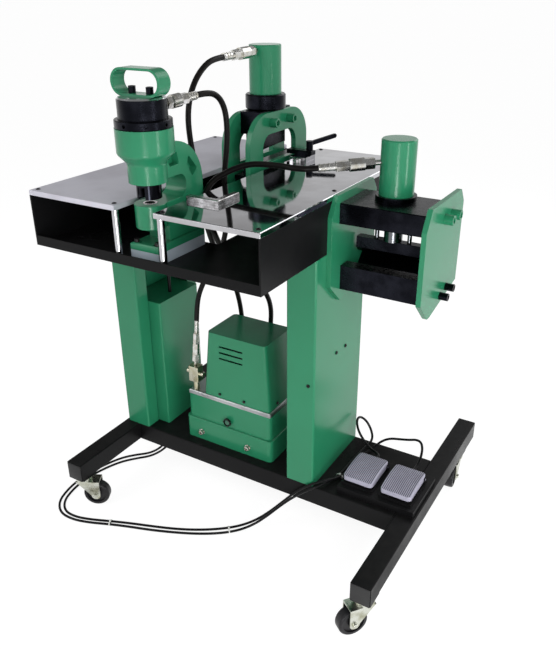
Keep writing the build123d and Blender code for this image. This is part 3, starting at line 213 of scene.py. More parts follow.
leg_plate_sides = (0.049, 0.002, 0.052)
leg_middle_x, leg_middle_z = 446, 125.8
leg_end_ys = (-372.9, 409.3)
bpy.ops.mesh.primitive_cube_add(size=1.0)
leg_plate = bpy.context.object
leg_plate.scale = leg_plate_sides
bpy.ops.object.transform_apply(location=False, rotation=False, scale=True)
bpy.ops.object.mode_set(mode="EDIT")
bpy.ops.mesh.select_all(action="SELECT")
bpy.ops.mesh.bevel(offset=0.0009, segments=2, affect="EDGES")
bpy.ops.object.mode_set(mode="OBJECT")
leg_plate = copies_at(leg_plate, [
    shift(x, y, leg_middle_z) for x in (-leg_middle_x, leg_middle_x) for y in leg_end_ys
])
plate_coat = sprayed(
    "leg_plate_coat", linear(40, 40, 41), linear(58, 58, 58), linear(90, 88, 84),
    roughness=0.5, spread=0.1, peel_scale=500.0, peel_height=0.0008, dust=0.08, sheen=0.15,
)
settle(leg_plate, "leg_end_plates", "frame", "black_paint", plate_coat)

# Casters: pressed zinc-plated forks on ball races, with black rubber wheels
# turning on bolts. The zinc is pale with a faint yellow passivation.
def brushed_group():
    """Streaks along one axis and blotches, for bare and plated metal."""
    group = bpy.data.node_groups.new("bare_metal", "ShaderNodeTree")
    for name, kind in (("Stretch", "NodeSocketVector"), ("Blotch Scale", "NodeSocketFloat")):
        group.interface.new_socket(name, in_out="INPUT", socket_type=kind)
    for name in ("Streak", "Blotch"):
        group.interface.new_socket(name, in_out="OUTPUT", socket_type="NodeSocketFloat")
    given = add_node(group, "NodeGroupInput")
    out = add_node(group, "NodeGroupOutput")
    place = add_node(group, "ShaderNodeTexCoord")
    stretched = add_node(group, "ShaderNodeVectorMath", operation="MULTIPLY")
    streak = add_node(group, "ShaderNodeTexNoise")
    blotch = add_node(group, "ShaderNodeTexNoise")
    streak.inputs["Scale"].default_value = 1.0
    streak.inputs["Detail"].default_value = 5.0
    streak.inputs["Roughness"].default_value = 0.7
    blotch.inputs["Detail"].default_value = 6.0
    group.links.new(place.outputs["Object"], stretched.inputs[0])
    group.links.new(given.outputs["Stretch"], stretched.inputs[1])
    group.links.new(stretched.outputs["Vector"], streak.inputs["Vector"])
    group.links.new(place.outputs["Object"], blotch.inputs["Vector"])
    group.links.new(given.outputs["Blotch Scale"], blotch.inputs["Scale"])
    group.links.new(streak.outputs["Fac"], out.inputs["Streak"])
    group.links.new(blotch.outputs["Fac"], out.inputs["Blotch"])
    return group


bare_metal = brushed_group()


def metal(name, colour, stain, smooth, rough, stretch, blotch_scale, scratch, metallic=1.0):
    """Bare or plated metal: stained tone, streaked gloss and fine scratches."""
    material, tree, shader = new_material(name)
    finish = add_node(tree, "ShaderNodeGroup", node_tree=bare_metal)
    tone = add_node(tree, "ShaderNodeMix", data_type="RGBA")
    spread = add_node(tree, "ShaderNodeMapRange", interpolation_type="SMOOTHSTEP")
    gloss = add_node(tree, "ShaderNodeMapRange")
    bump = add_node(tree, "ShaderNodeBump")
    finish.inputs["Stretch"].default_value = stretch
    finish.inputs["Blotch Scale"].default_value = blotch_scale
    tone.inputs["A"].default_value = colour
    tone.inputs["B"].default_value = stain
    spread.inputs["From Min"].default_value = 0.35
    spread.inputs["From Max"].default_value = 0.7
    gloss.inputs["From Min"].default_value = 0.3
    gloss.inputs["From Max"].default_value = 0.7
    gloss.inputs["To Min"].default_value = smooth
    gloss.inputs["To Max"].default_value = rough
    bump.inputs["Strength"].default_value = scratch
    bump.inputs["Distance"].default_value = 0.0002
    shader.inputs["Metallic"].default_value = metallic
    broken_edges(tree, bump, 0.001)
    tree.links.new(finish.outputs["Blotch"], spread.inputs["Value"])
    tree.links.new(spread.outputs["Result"], tone.inputs["Factor"])
    tree.links.new(tone.outputs["Result"], shader.inputs["Base Color"])
    tree.links.new(finish.outputs["Streak"], gloss.inputs["Value"])
    tree.links.new(gloss.outputs["Result"], shader.inputs["Roughness"])
    tree.links.new(finish.outputs["Streak"], bump.inputs["Height"])
    tree.links.new(bump.outputs["Normal"], shader.inputs["Normal"])
    return material


caster_zinc = metal(
    "caster_zinc", linear(214, 216, 206), linear(168, 168, 146),
    smooth=0.2, rough=0.42, stretch=(120.0, 120.0, 160.0), blotch_scale=44.0, scratch=0.15,
)


def rubber(name, colour, worn, roughness, grain_scale, grain_height, sheen=0.25):
    """Rubber, plastic or blackened steel: two tones in blotches and a fine grain."""
    material, tree, shader = new_material(name)
    place = add_node(tree, "ShaderNodeTexCoord")
    grain = add_node(tree, "ShaderNodeTexNoise")
    wear = add_node(tree, "ShaderNodeTexNoise")
    tone = add_node(tree, "ShaderNodeMix", data_type="RGBA")
    spread = add_node(tree, "ShaderNodeMapRange")
    bump = add_node(tree, "ShaderNodeBump")
    grain.inputs["Scale"].default_value = grain_scale
    wear.inputs["Scale"].default_value = 24.0
    wear.inputs["Detail"].default_value = 5.0
    spread.inputs["From Min"].default_value = 0.4
    spread.inputs["From Max"].default_value = 0.75
    tone.inputs["A"].default_value = colour
    tone.inputs["B"].default_value = worn
    bump.inputs["Strength"].default_value = 0.3
    bump.inputs["Distance"].default_value = grain_height
    shader.inputs["Roughness"].default_value = roughness
    shader.inputs["Specular IOR Level"].default_value = sheen
    tree.links.new(place.outputs["Object"], grain.inputs["Vector"])
    tree.links.new(place.outputs["Object"], wear.inputs["Vector"])
    tree.links.new(wear.outputs["Fac"], spread.inputs["Value"])
    tree.links.new(spread.outputs["Result"], tone.inputs["Factor"])
    tree.links.new(tone.outputs["Result"], shader.inputs["Base Color"])
    tree.links.new(grain.outputs["Fac"], bump.inputs["Height"])
    tree.links.new(bump.outputs["Normal"], shader.inputs["Normal"])
    return material


wheel_rubber = rubber("wheel_rubber", linear(18, 18, 21), linear(40, 38, 40), 0.38, 700.0, 0.0003)
for corner in ("front_left", "front_right", "rear_left", "rear_right"):
    dress(caster_zinc, f"caster_fork_{corner}")
    dress(wheel_rubber, f"caster_wheel_{corner}")

# Columns and control box: folded sheet, welded under the table and sprayed with
# a glossy green machine enamel that pools a little at the folds.
green_enamel = sprayed(
    "green_enamel", linear(34, 118, 82), linear(42, 128, 92), linear(110, 150, 130),
    roughness=0.22, spread=0.04, peel_scale=620.0, peel_height=0.0004, dust=0.04, sheen=0.34,
)
dress(green_enamel, "left_column", "right_column", "control_box")

# Column screws: two dark button heads low on the right column's outer cheek and one
# on its front fold, each domed and with a round drive.
facing_up = 0.9  # upright part of a normal that counts as facing up
top_margin = 0.0001  # depth below the top that still counts as the top


def pick(part, test):
    """In edit mode, select just the faces whose middle and normal pass a test."""
    bpy.ops.mesh.select_mode(type="FACE")
    bpy.ops.mesh.select_all(action="DESELECT")
    mesh = bmesh.from_edit_mesh(part.data)
    for face in mesh.faces:
        face.select_set(bool(test(face.calc_center_median(), face.normal)))
    bmesh.update_edit_mesh(part.data)


def draw(distance):
    """In edit mode, draw the selected faces up, or down by a distance below zero."""
    bpy.ops.mesh.extrude_region_move(TRANSFORM_OT_translate={"value": (0, 0, distance)})


def turned_head(vertices, radius, tall, rim, segments, wall, drive, under=0.0):
    """A round head with its top edge rounded and a round drive sunk inside its wall."""
    bpy.ops.mesh.primitive_cylinder_add(
        vertices=vertices, radius=radius, depth=tall, location=(0, 0, under + tall / 2),
    )
    head = bpy.context.object
    bpy.ops.object.transform_apply(location=True, rotation=False, scale=False)
    bpy.ops.object.mode_set(mode="EDIT")
    pick(head, lambda middle, normal: normal.z > facing_up)
    bpy.ops.mesh.bevel(offset=rim, segments=segments, affect="EDGES")
    pick(head, lambda middle, normal: normal.z > facing_up and middle.z > under + tall - top_margin)
    bpy.ops.mesh.inset(thickness=wall, depth=0)
    draw(-drive)
    bpy.ops.object.mode_set(mode="OBJECT")
    return head


screw_black = rubber("blackened_screw", linear(16, 16, 17), linear(30, 29, 29), 0.36, 900.0, 0.0001)
towards_right = Matrix.Rotation(math.radians(90), 4, "Y")
towards_front = Matrix.Rotation(math.radians(90), 4, "X")
cheek_x, fold_y = 186, -119.3
button = turned_head(
    vertices=32, radius=0.0048, tall=0.003, rim=0.0016, segments=4, wall=0.0012, drive=0.0014,
)
button = copies_at(button, [
    shift(cheek_x, -0.5, 510) @ towards_right,
    shift(cheek_x, 53.6, 507) @ towards_right,
    shift(168.4, fold_y, 464) @ towards_front,
])
settle(button, "column_screws", "frame", "black_steel", screw_black)

# Table: a black sheet box open at the front, a ground steel plate on the left and
# a polished one on the right, and two bright posts at the mouth of the slot.
ground_steel = metal(
    "ground_steel", linear(206, 205, 215), linear(190, 188, 198),
    smooth=0.38, rough=0.56, stretch=(420.0, 9.0, 60.0), blotch_scale=7.0, scratch=0.16, metallic=0.45,
)
polished_steel = metal(
    "polished_steel", linear(200, 200, 204), linear(178, 177, 180),
    smooth=0.03, rough=0.08, stretch=(30.0, 520.0, 60.0), blotch_scale=9.0, scratch=0.02,
)
brushed_steel = metal(
    "brushed_steel", linear(178, 177, 178), linear(120, 118, 118),
    smooth=0.16, rough=0.34, stretch=(26.0, 26.0, 900.0), blotch_scale=60.0, scratch=0.12,
)
dress(black_coat, "table_box")
dress(ground_steel, "left_top_plate")
dress(polished_steel, "right_top_plate", "slot_posts", "clamp_base")
dress(brushed_steel, "angle_stop")

# Plate screws: low blackened heads with a round drive, one at each corner of both
# plates and one halfway along the outer edges.
plate_screw_z = 940.2
plate_screw = turned_head(
    vertices=36, radius=0.0056, tall=0.0016, rim=0.0004, segments=2, wall=0.0024, drive=0.0012,
    under=-0.0008,
)
plate_screw = copies_at(plate_screw, [
    shift(x, y, plate_screw_z) for x, y in (
        (-449, -346), (-208, -346), (-449, -4), (-449, 382), (-208, 382),
        (-70, -346), (170, -342), (170, -8), (170, 382), (-70, 382),
    )
])
settle(plate_screw, "plate_screws", "frame", "black_steel", screw_black)

# Punch: green C-shaped casting screwed to a block, with a blackened stripper, lock
# ring and cap, and a green strip handle. The ram and die are ground bright.
black_oxide = metal(
    "black_oxide", linear(20, 21, 26), linear(34, 35, 42),
    smooth=0.2, rough=0.38, stretch=(140.0, 140.0, 420.0), blotch_scale=26.0, scratch=0.10,
)
bright_steel = metal(
    "bright_steel", linear(214, 213, 214), linear(190, 188, 188),
    smooth=0.10, rough=0.22, stretch=(160.0, 160.0, 700.0), blotch_scale=30.0, scratch=0.05,
)


def bare_band(name, coat, low, high, colour, roughness):
    """A coat that stops between two heights, where the metal is machined bare."""
    material = coat.copy()
    material.name = name
    tree = material.node_tree
    shader = tree.nodes["Principled BSDF"]
    place = add_node(tree, "ShaderNodeTexCoord")
    height = add_node(tree, "ShaderNodeSeparateXYZ")
    over = add_node(tree, "ShaderNodeMath", operation="GREATER_THAN")
    under = add_node(tree, "ShaderNodeMath", operation="LESS_THAN")
    band = add_node(tree, "ShaderNodeMath", operation="MULTIPLY")
    tone = add_node(tree, "ShaderNodeMix", data_type="RGBA")
    gloss = add_node(tree, "ShaderNodeMix", data_type="FLOAT")
    over.inputs[1].default_value = low
    under.inputs[1].default_value = high
    tone.inputs["B"].default_value = colour
    gloss.inputs["B"].default_value = roughness
    tree.links.new(place.outputs["Object"], height.inputs["Vector"])
    tree.links.new(height.outputs["Z"], over.inputs[0])
    tree.links.new(height.outputs["Z"], under.inputs[0])
    tree.links.new(over.outputs["Value"], band.inputs[0])
    tree.links.new(under.outputs["Value"], band.inputs[1])
    tree.links.new(shader.inputs["Base Color"].links[0].from_socket, tone.inputs["A"])
    tree.links.new(shader.inputs["Roughness"].links[0].from_socket, gloss.inputs["A"])
    tree.links.new(band.outputs["Value"], tone.inputs["Factor"])
    tree.links.new(band.outputs["Value"], gloss.inputs["Factor"])
    tree.links.new(tone.outputs["Result"], shader.inputs["Base Color"])
    tree.links.new(gloss.outputs["Result"], shader.inputs["Roughness"])
    return material


block_paint = bare_band("clamp_block", green_enamel, 0.0, 0.834, linear(164, 176, 186), 0.4)
cap_finish = bare_band("cap_finish", black_oxide, 1.1655, 1.3, linear(206, 208, 210), 0.24)
stripper_black = metal(
    "oiled_black", linear(24, 25, 30), linear(38, 39, 45),
    smooth=0.1, rough=0.2, stretch=(140.0, 140.0, 420.0), blotch_scale=40.0, scratch=0.06,
)
dress(green_enamel, "punch_frame", "punch_handle")
dress(block_paint, "punch_clamp_block")
dress(black_oxide, "punch_lock_ring", "black_bolts")
dress(stripper_black, "punch_stripper")
dress(cap_finish, "punch_cap")
dress(bright_steel, "punch_ram", "punch_die")

# Block screws: two black socket heads in front of the casting, which hold the clamp
# block down on the table.
block_top = 850
block_screw = turned_head(
    vertices=36, radius=0.0062, tall=0.008, rim=0.0007, segments=2, wall=0.0024, drive=0.004,
)
block_screw = copies_at(block_screw, [shift(x, -324, block_top) for x in (-171, -111)])
settle(block_screw, "clamp_block_screws", "frame", "black_steel", screw_black)

# Cutter: two green plates bolted round black blocks, a black collar and a green
# cylinder. The raked blade and the block it meets are blackened tool steel.
dress(green_enamel, "cutter_left_plate", "cutter_right_plate", "cutter_cylinder", "green_bolts")
dress(black_oxide, "cutter_head_block", "cutter_collar", "cutter_blade", "cutter_lower_blade")
dress(black_oxide, "clamp_arm", "clamp_lever")

# Clamp foot: a turned bright foot on the plate beside the hold-down clamp, with a
# rounded rim and a shallow centre mark.
table_top = 940
foot = turned_head(
    vertices=48, radius=0.0105, tall=0.011, rim=0.0022, segments=3, wall=0.0045, drive=0.0012,
)
foot = copies_at(foot, [shift(-48, 201, table_top)])
settle(foot, "clamp_foot", "frame", "bright_steel", bright_steel)

# Bender: green plates with black crosshead and die between them, a green cylinder
# above, and a blackened ram with two guide pins.
ram_finish = bare_band("bender_ram_finish", black_oxide, 0.818, 1.2, linear(104, 106, 110), 0.2)
dress(green_enamel, "bender_inner_plate", "bender_outer_plate", "bender_cylinder")
dress(black_oxide, "bender_top_beam", "bender_die")
dress(ram_finish, "bender_ram")

# Power pack: a stepped green oil tank with an aluminium lid, a louvred green hood
# over the motor, and plated fittings.
aluminium = metal(
    "bare_aluminium", linear(196, 197, 199), linear(170, 171, 173),
    smooth=0.28, rough=0.46, stretch=(40.0, 600.0, 40.0), blotch_scale=16.0, scratch=0.10,
)
zinc = metal(
    "yellow_zinc", linear(206, 204, 186), linear(178, 172, 140),
    smooth=0.22, rough=0.42, stretch=(260.0, 260.0, 90.0), blotch_scale=38.0, scratch=0.12,
)
silver_plate = metal(
    "silver_plate", linear(214, 214, 212), linear(184, 180, 168),
    smooth=0.14, rough=0.32, stretch=(300.0, 300.0, 300.0), blotch_scale=60.0, scratch=0.10,
)
dress(green_enamel, "oil_tank", "pump_cover")
dress(aluminium, "pump_plate")
dress(black_oxide, "pump_motor")
dress(zinc, "manifold")
dress(silver_plate, "hose_couplings")

# Lid ribs: the lid's edge is an extrusion with three raised ribs along the front and
# along the right end.
rib_length, rib_depth, rib_height = 0.276, 0.0018, 0.002
end_rib_length = 0.2
rib_levels = (302.4, 306.0, 309.6)
bpy.ops.mesh.primitive_cube_add(size=1.0)
rib = bpy.context.object
rib.scale = (rib_length, rib_depth, rib_height)
bpy.ops.object.transform_apply(location=False, rotation=False, scale=True)
bpy.ops.object.mode_set(mode="EDIT")
bpy.ops.mesh.select_all(action="SELECT")
bpy.ops.mesh.bevel(offset=0.0006, segments=2, affect="EDGES")
bpy.ops.object.mode_set(mode="OBJECT")
turned = Matrix.Rotation(math.radians(90), 4, "Z") @ Matrix.Diagonal((end_rib_length / rib_length, 1, 1, 1))
rib = copies_at(rib, [
    *(shift(-107.5, -82.2, z) for z in rib_levels),
    *(shift(31.4, 19.2, z) @ turned for z in rib_levels),
])
settle(rib, "lid_ribs", "frame", "aluminium", aluminium)

# Sight glass: a blackened bezel screwed into the tank's front, round a domed window
# that shows green oil.
tank_front_y, window_y = -87.8, -89.8
sight_x, sight_z = -109, 245
bezel = turned_head(
    vertices=48, radius=0.0125, tall=0.005, rim=0.0012, segments=3, wall=0.0022, drive=0.003,
)
bezel = copies_at(bezel, [shift(sight_x, tank_front_y, sight_z) @ towards_front])
settle(bezel, "sight_bezel", "frame", "black_steel", screw_black)

oil_window, window_tree, window_shader = new_material("oil_window")
window_place = add_node(window_tree, "ShaderNodeTexCoord")
window_cloud = add_node(window_tree, "ShaderNodeTexNoise")
window_tone = add_node(window_tree, "ShaderNodeMix", data_type="RGBA")
window_cloud.inputs["Scale"].default_value = 160.0
window_tone.inputs["A"].default_value = linear(16, 60, 44)
window_tone.inputs["B"].default_value = linear(60, 118, 92)
window_shader.inputs["Roughness"].default_value = 0.08
window_tree.links.new(window_place.outputs["Object"], window_cloud.inputs["Vector"])
window_tree.links.new(window_cloud.outputs["Fac"], window_tone.inputs["Factor"])
window_tree.links.new(window_tone.outputs["Result"], window_shader.inputs["Base Color"])
window_radius, window_dome_share = 0.009, 0.3
bpy.ops.mesh.primitive_uv_sphere_add(segments=32, ring_count=16, radius=window_radius)
window = bpy.context.object
window.scale = (1, 1, window_dome_share)
bpy.ops.object.transform_apply(location=False, rotation=False, scale=True)
bpy.ops.object.mode_set(mode="EDIT")
bpy.ops.mesh.select_all(action="SELECT")
bpy.ops.mesh.bisect(plane_co=(0, 0, 0), plane_no=(0, 0, 1), use_fill=True, clear_inner=True)
bpy.ops.object.mode_set(mode="OBJECT")
window = copies_at(window, [shift(sight_x, window_y, sight_z) @ towards_front])
settle(window, "sight_window", "frame", "green_paint", oil_window)

# Tank plugs: two plated drain plugs low on the tank's front, round heads with a deep
# drive, on a thin washer.
washer_radius, washer_tall = 0.0095, 0.0015
plug_tall, plug_drive = 0.0075, 0.0055
plug_z = 181
bpy.ops.mesh.primitive_cylinder_add(
    vertices=40, radius=washer_radius, depth=washer_tall, location=(0, 0, washer_tall / 2),
)
plug = bpy.context.object
bpy.ops.object.transform_apply(location=True, rotation=False, scale=False)
bpy.ops.object.mode_set(mode="EDIT")
pick(plug, lambda middle, normal: normal.z > facing_up)
bpy.ops.mesh.inset(thickness=0.002, depth=0)
draw(plug_tall)
bpy.ops.mesh.bevel(offset=0.0008, segments=2, affect="EDGES")
plug_top = washer_tall + plug_tall - 2 * top_margin
pick(plug, lambda middle, normal: normal.z > facing_up and middle.z > plug_top)
bpy.ops.mesh.inset(thickness=0.0022, depth=0)
draw(-plug_drive)
bpy.ops.object.mode_set(mode="OBJECT")
plug = copies_at(plug, [shift(x, tank_front_y, plug_z) @ towards_front for x in (-203, -42)])
settle(plug, "tank_plugs", "frame", "zinc", silver_plate)

# Hood screws: dark hexagon heads that draw in a little towards the top, two along the
# foot of the hood's front and two along its right side.
hex_radius, hex_foot, hex_tall, hex_draw_share = 0.0042, 0.0012, 0.0028, 0.94
hood_front_y, hood_side_x, hood_screw_z = -77.8, 26, 325
bpy.ops.mesh.primitive_cylinder_add(
    vertices=6, radius=hex_radius, depth=hex_foot, location=(0, 0, hex_foot / 2),
)
hood_screw = bpy.context.object
bpy.ops.object.transform_apply(location=True, rotation=False, scale=False)
bpy.ops.object.mode_set(mode="EDIT")
pick(hood_screw, lambda middle, normal: normal.z > facing_up)
draw(hex_tall)
bpy.ops.transform.resize(value=(hex_draw_share, hex_draw_share, 1))
bpy.ops.mesh.bevel(offset=0.0004, segments=2, affect="EDGES")
bpy.ops.object.mode_set(mode="OBJECT")
hood_screw = copies_at(hood_screw, [
    *(shift(x, hood_front_y, hood_screw_z) @ towards_front for x in (-138, -56)),
    *(shift(hood_side_x, y, hood_screw_z) @ towards_right for y in (-36, 38)),
])
settle(hood_screw, "hood_screws", "frame", "black_steel", screw_black)

# Crimp ridges: each hose's sleeve is rolled down on it in four rings, bright as the
# rest of the coupling.
ridge_count, ridge_margin, ridge_rise, ridge_width = 4, 4, 1.1, 0.003
bpy.ops.mesh.primitive_cylinder_add(vertices=36, radius=1.0, depth=ridge_width)
ridge = bpy.context.object
bpy.ops.object.mode_set(mode="EDIT")
bpy.ops.mesh.select_all(action="SELECT")
bpy.ops.mesh.subdivide(number_cuts=1)
bpy.ops.object.mode_set(mode="OBJECT")
ridge_places = []
for end, heading, length, girth in (
    ((-113, -149.84, 1154), (-0.1807, -0.9805, -0.0774), 28.1, 8.5),
    ((-157, 21.16, 1219), (0.0321, 0.9988, 0.0359), 40.2, 8.5),
    ((149.6, -52.84, 1000), (0.7842, 0.6176, 0.0599), 40.7, 8.5),
    ((-219, -61.84, 533), (-0.0626, -0.0417, -0.9972), 40.0, 6.12),
    ((-175, 101.16, 425), (0, 0, -1), 31.6, 6.12),
    ((-80, 106.16, 430), (0, 0, -1), 33.0, 6.12),
):
    along = Vector(heading)
    turn = along.to_track_quat("Z", "Y").to_matrix().to_4x4()
    radius = (girth + ridge_rise) / 1000
    pitch = (length - 2 * ridge_margin) / (ridge_count - 1)
    for step in range(ridge_count):
        middle = Vector(end) + along * (ridge_margin + step * pitch)
        ridge_places.append(shift(*middle) @ turn @ Matrix.Diagonal((radius, radius, 1, 1)))
ridge = copies_at(ridge, ridge_places)
bpy.ops.object.mode_set(mode="EDIT")
bpy.ops.mesh.select_all(action="SELECT")
bpy.ops.mesh.remove_doubles(threshold=0.000001)
bpy.ops.object.mode_set(mode="OBJECT")
rounding = ridge.modifiers.new("rounding", "BEVEL")
rounding.width = 0.0009
rounding.segments = 2
rounding.limit_method = "ANGLE"
rounding.angle_limit = math.radians(60)
bpy.ops.object.modifier_apply(modifier="rounding")
settle(ridge, "crimp_ridges", "frame", "zinc", silver_plate)

# Foot switches: moulded grey treads with a lavender cast, hinged on black bases. Painted
# shade, a darker copy of the tread colour, lies on the tops along the grooves that run from front to back.
groove_span, groove_count = 0.064, 13
groove_pitch = groove_span / groove_count
for side, first_groove in (("left", 0.267), ("right", 0.374)):
    tread = rubber(f"{side}_tread", linear(158, 156, 172), linear(172, 170, 186), 0.42, 900.0, 0.0002)
    tree = tread.node_tree
    shader = tree.nodes["Principled BSDF"]
    place = add_node(tree, "ShaderNodeTexCoord")
    across = add_node(tree, "ShaderNodeSeparateXYZ")
    surface = add_node(tree, "ShaderNodeNewGeometry")
    upward = add_node(tree, "ShaderNodeSeparateXYZ")
    count = add_node(tree, "ShaderNodeMapRange", clamp=False)
    part_way = add_node(tree, "ShaderNodeMath", operation="FRACT")
    from_middle = add_node(tree, "ShaderNodeMath", operation="SUBTRACT")
    nearness = add_node(tree, "ShaderNodeMath", operation="ABSOLUTE")
    groove = add_node(tree, "ShaderNodeMapRange", interpolation_type="SMOOTHSTEP")
    on_top = add_node(tree, "ShaderNodeMath", operation="GREATER_THAN")
    # painted shade: the groove stripes, kept to the faces that look up
    groove_shade = add_node(tree, "ShaderNodeMath", operation="MULTIPLY")
    shaded_tread = add_node(tree, "ShaderNodeMix", data_type="RGBA")
    count.inputs["From Min"].default_value = first_groove - groove_pitch / 2
    count.inputs["From Max"].default_value = first_groove + groove_pitch / 2
    from_middle.inputs[1].default_value = 0.5
    groove.inputs["From Min"].default_value = 0.3
    groove.inputs["From Max"].default_value = 0.16
    on_top.inputs[1].default_value = 0.85
    # painted shade colour: the tread's lavender grey dimmed to about half, laid along each groove
    shaded_tread.inputs["B"].default_value = linear(74, 70, 84)
    tree.links.new(place.outputs["Object"], across.inputs["Vector"])
    tree.links.new(across.outputs["X"], count.inputs["Value"])
    tree.links.new(count.outputs["Result"], part_way.inputs[0])
    tree.links.new(part_way.outputs["Value"], from_middle.inputs[0])
    tree.links.new(from_middle.outputs["Value"], nearness.inputs[0])
    tree.links.new(nearness.outputs["Value"], groove.inputs["Value"])
    tree.links.new(surface.outputs["Normal"], upward.inputs["Vector"])
    tree.links.new(upward.outputs["Z"], on_top.inputs[0])
    tree.links.new(groove.outputs["Result"], groove_shade.inputs[0])
    tree.links.new(on_top.outputs["Value"], groove_shade.inputs[1])
    tree.links.new(groove_shade.outputs["Value"], shaded_tread.inputs["Factor"])
    tree.links.new(shader.inputs["Base Color"].links[0].from_socket, shaded_tread.inputs["A"])
    tree.links.new(shaded_tread.outputs["Result"], shader.inputs["Base Color"])
    dress(tread, f"{side}_pedal")

# Hoses: black hydraulic hose from each head, down through the slot and the floor of
# the table to the power pack. The punch hose ends on the manifold's stack.
origin_shift = 0.01816  # from the routes' origin, under the table, to the frame's
hose_rubber = rubber("hose_rubber", linear(11, 10, 10), linear(24, 21, 19), 0.36, 900.0, 0.0003, sheen=0.14)
cable_skin = rubber("cable_skin", linear(11, 11, 12), linear(20, 20, 22), 0.34, 1200.0, 0.0001, sheen=0.16)


def lay_cord(name, node, route, diameter, material):
    """One smooth line through a route's control points, in millimetres."""
    curve = bpy.data.curves.new(name, "CURVE")
    curve.dimensions = "3D"
    curve.bevel_depth = diameter / 2
    curve.bevel_resolution = 5
    curve.resolution_u = 10
    curve.use_fill_caps = True
    points = [(x / 1000, y / 1000 + origin_shift, z / 1000) for x, y, z in route]
    spline = curve.splines.new("NURBS")
    spline.points.add(len(points) - 1)
    for point, place in zip(spline.points, points):
        point.co = (*place, 1.0)
    spline.order_u = 3
    spline.use_endpoint_u = True
    curve.materials.append(material)
    cord = bpy.data.objects.new(name, curve)
    bpy.context.collection.objects.link(cord)
    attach(cord, "frame")
    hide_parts(node)


hose_diameter = 0.014
lay_cord("punch_hose_line", "punch_hose", [
    (-113, -168, 1154), (-106, -130, 1157), (-100, -98, 1144), (-96, -80, 1112),
    (-95, -76, 1068), (-96, -80, 1020), (-98, -88, 975), (-99, -92, 925),
    (-100, -86, 875), (-106, -78, 825), (-122, -74, 770), (-152, -73, 717),
    (-182, -75, 668), (-206, -77, 620), (-216.3, -78.2, 576), (-219, -80, 533),
], hose_diameter, hose_rubber)
lay_cord("cutter_hose_line", "cutter_hose", [
    (-157, 3, 1219), (-158.1, -36, 1217.6), (-159, -72, 1204), (-160, -105, 1179),
    (-161, -129, 1144), (-161, -141, 1100), (-161, -138, 1050), (-159, -129, 995),
    (-156, -121, 938), (-153, -113, 880), (-150, -102, 822), (-152, -78, 768),
    (-160, -40, 716), (-168, 5, 664), (-172, 45, 606), (-174, 70, 543),
    (-175, 83, 475), (-175, 83, 425),
], hose_diameter, hose_rubber)
lay_cord("bender_hose_line", "bender_hose", [
    (149.6, -71, 1000), (130, -86.5, 998.5), (100, -95, 999), (60, -92, 999.5),
    (15, -91, 998), (-20, -97, 995), (-45, -115, 987), (-62, -135, 978),
    (-79, -154, 966), (-91, -170, 948), (-96, -181, 922), (-97, -177, 890),
    (-97, -162, 857), (-97, -143, 824), (-97, -124, 788), (-94, -90, 745),
    (-85, -45, 700), (-72, 5, 650), (-64, 46, 598), (-68, 74, 542),
    (-80, 88, 480), (-80, 88, 430),
], hose_diameter, hose_rubber)

# Cable ties: white nylon bands that hold the two foot switch cords side by side, each
# a flat loop pulled oblong with its small square head on top.
tie_width, tie_height, tie_wall, tie_slack = 0.0036, 0.0096, 0.0011, 0.0098
tie_head, tie_head_rise = 0.0046, 0.0058
tie_nylon = rubber("tie_nylon", linear(214, 214, 210), linear(228, 228, 226), 0.4, 1400.0, 0.00005)


def cable_tie(name, x, y, z, heading, spread):
    """A band round two cords that lie a given spread apart, square to their heading."""
    bpy.ops.mesh.primitive_cylinder_add(vertices=40, radius=0.5, depth=tie_width)
    band = bpy.context.object
    band.scale = (spread + tie_slack, tie_height, 1)
    bpy.ops.object.transform_apply(location=False, rotation=False, scale=True)
    bpy.ops.object.mode_set(mode="EDIT")
    pick(band, lambda middle, normal: abs(normal.z) > facing_up)
    bpy.ops.mesh.inset(thickness=tie_wall, depth=0)
    bpy.ops.mesh.bridge_edge_loops()
    bpy.ops.object.mode_set(mode="OBJECT")
    bpy.ops.mesh.primitive_cube_add(size=tie_head, location=(0, tie_head_rise, 0))
    head = bpy.context.object
    bpy.ops.object.mode_set(mode="EDIT")
    bpy.ops.mesh.select_all(action="SELECT")
    bpy.ops.mesh.bevel(offset=0.0006, segments=2, affect="EDGES")
    bpy.ops.object.mode_set(mode="OBJECT")
    only(band, head)
    bpy.ops.object.transform_apply(location=True, rotation=False, scale=False)
    bpy.ops.object.join()
    turn = Matrix.Rotation(heading - math.radians(90), 4, "Z")
    band = copies_at(band, [shift(x, y, z) @ turn @ towards_front])
    settle(band, name, "frame", "grey_plastic", tie_nylon)
    return band


floor_tie = cable_tie("floor_tie", -320, -381.8, 5.2, math.atan2(42, 103), 0.0125)
tray_tie = cable_tie("tray_tie", -13, -235.8, 6.2, math.atan2(36, 42), 0.0175)
plate_tie = cable_tie("plate_tie", 232, -45.8, 161, math.atan2(36, 8), 0.0125)

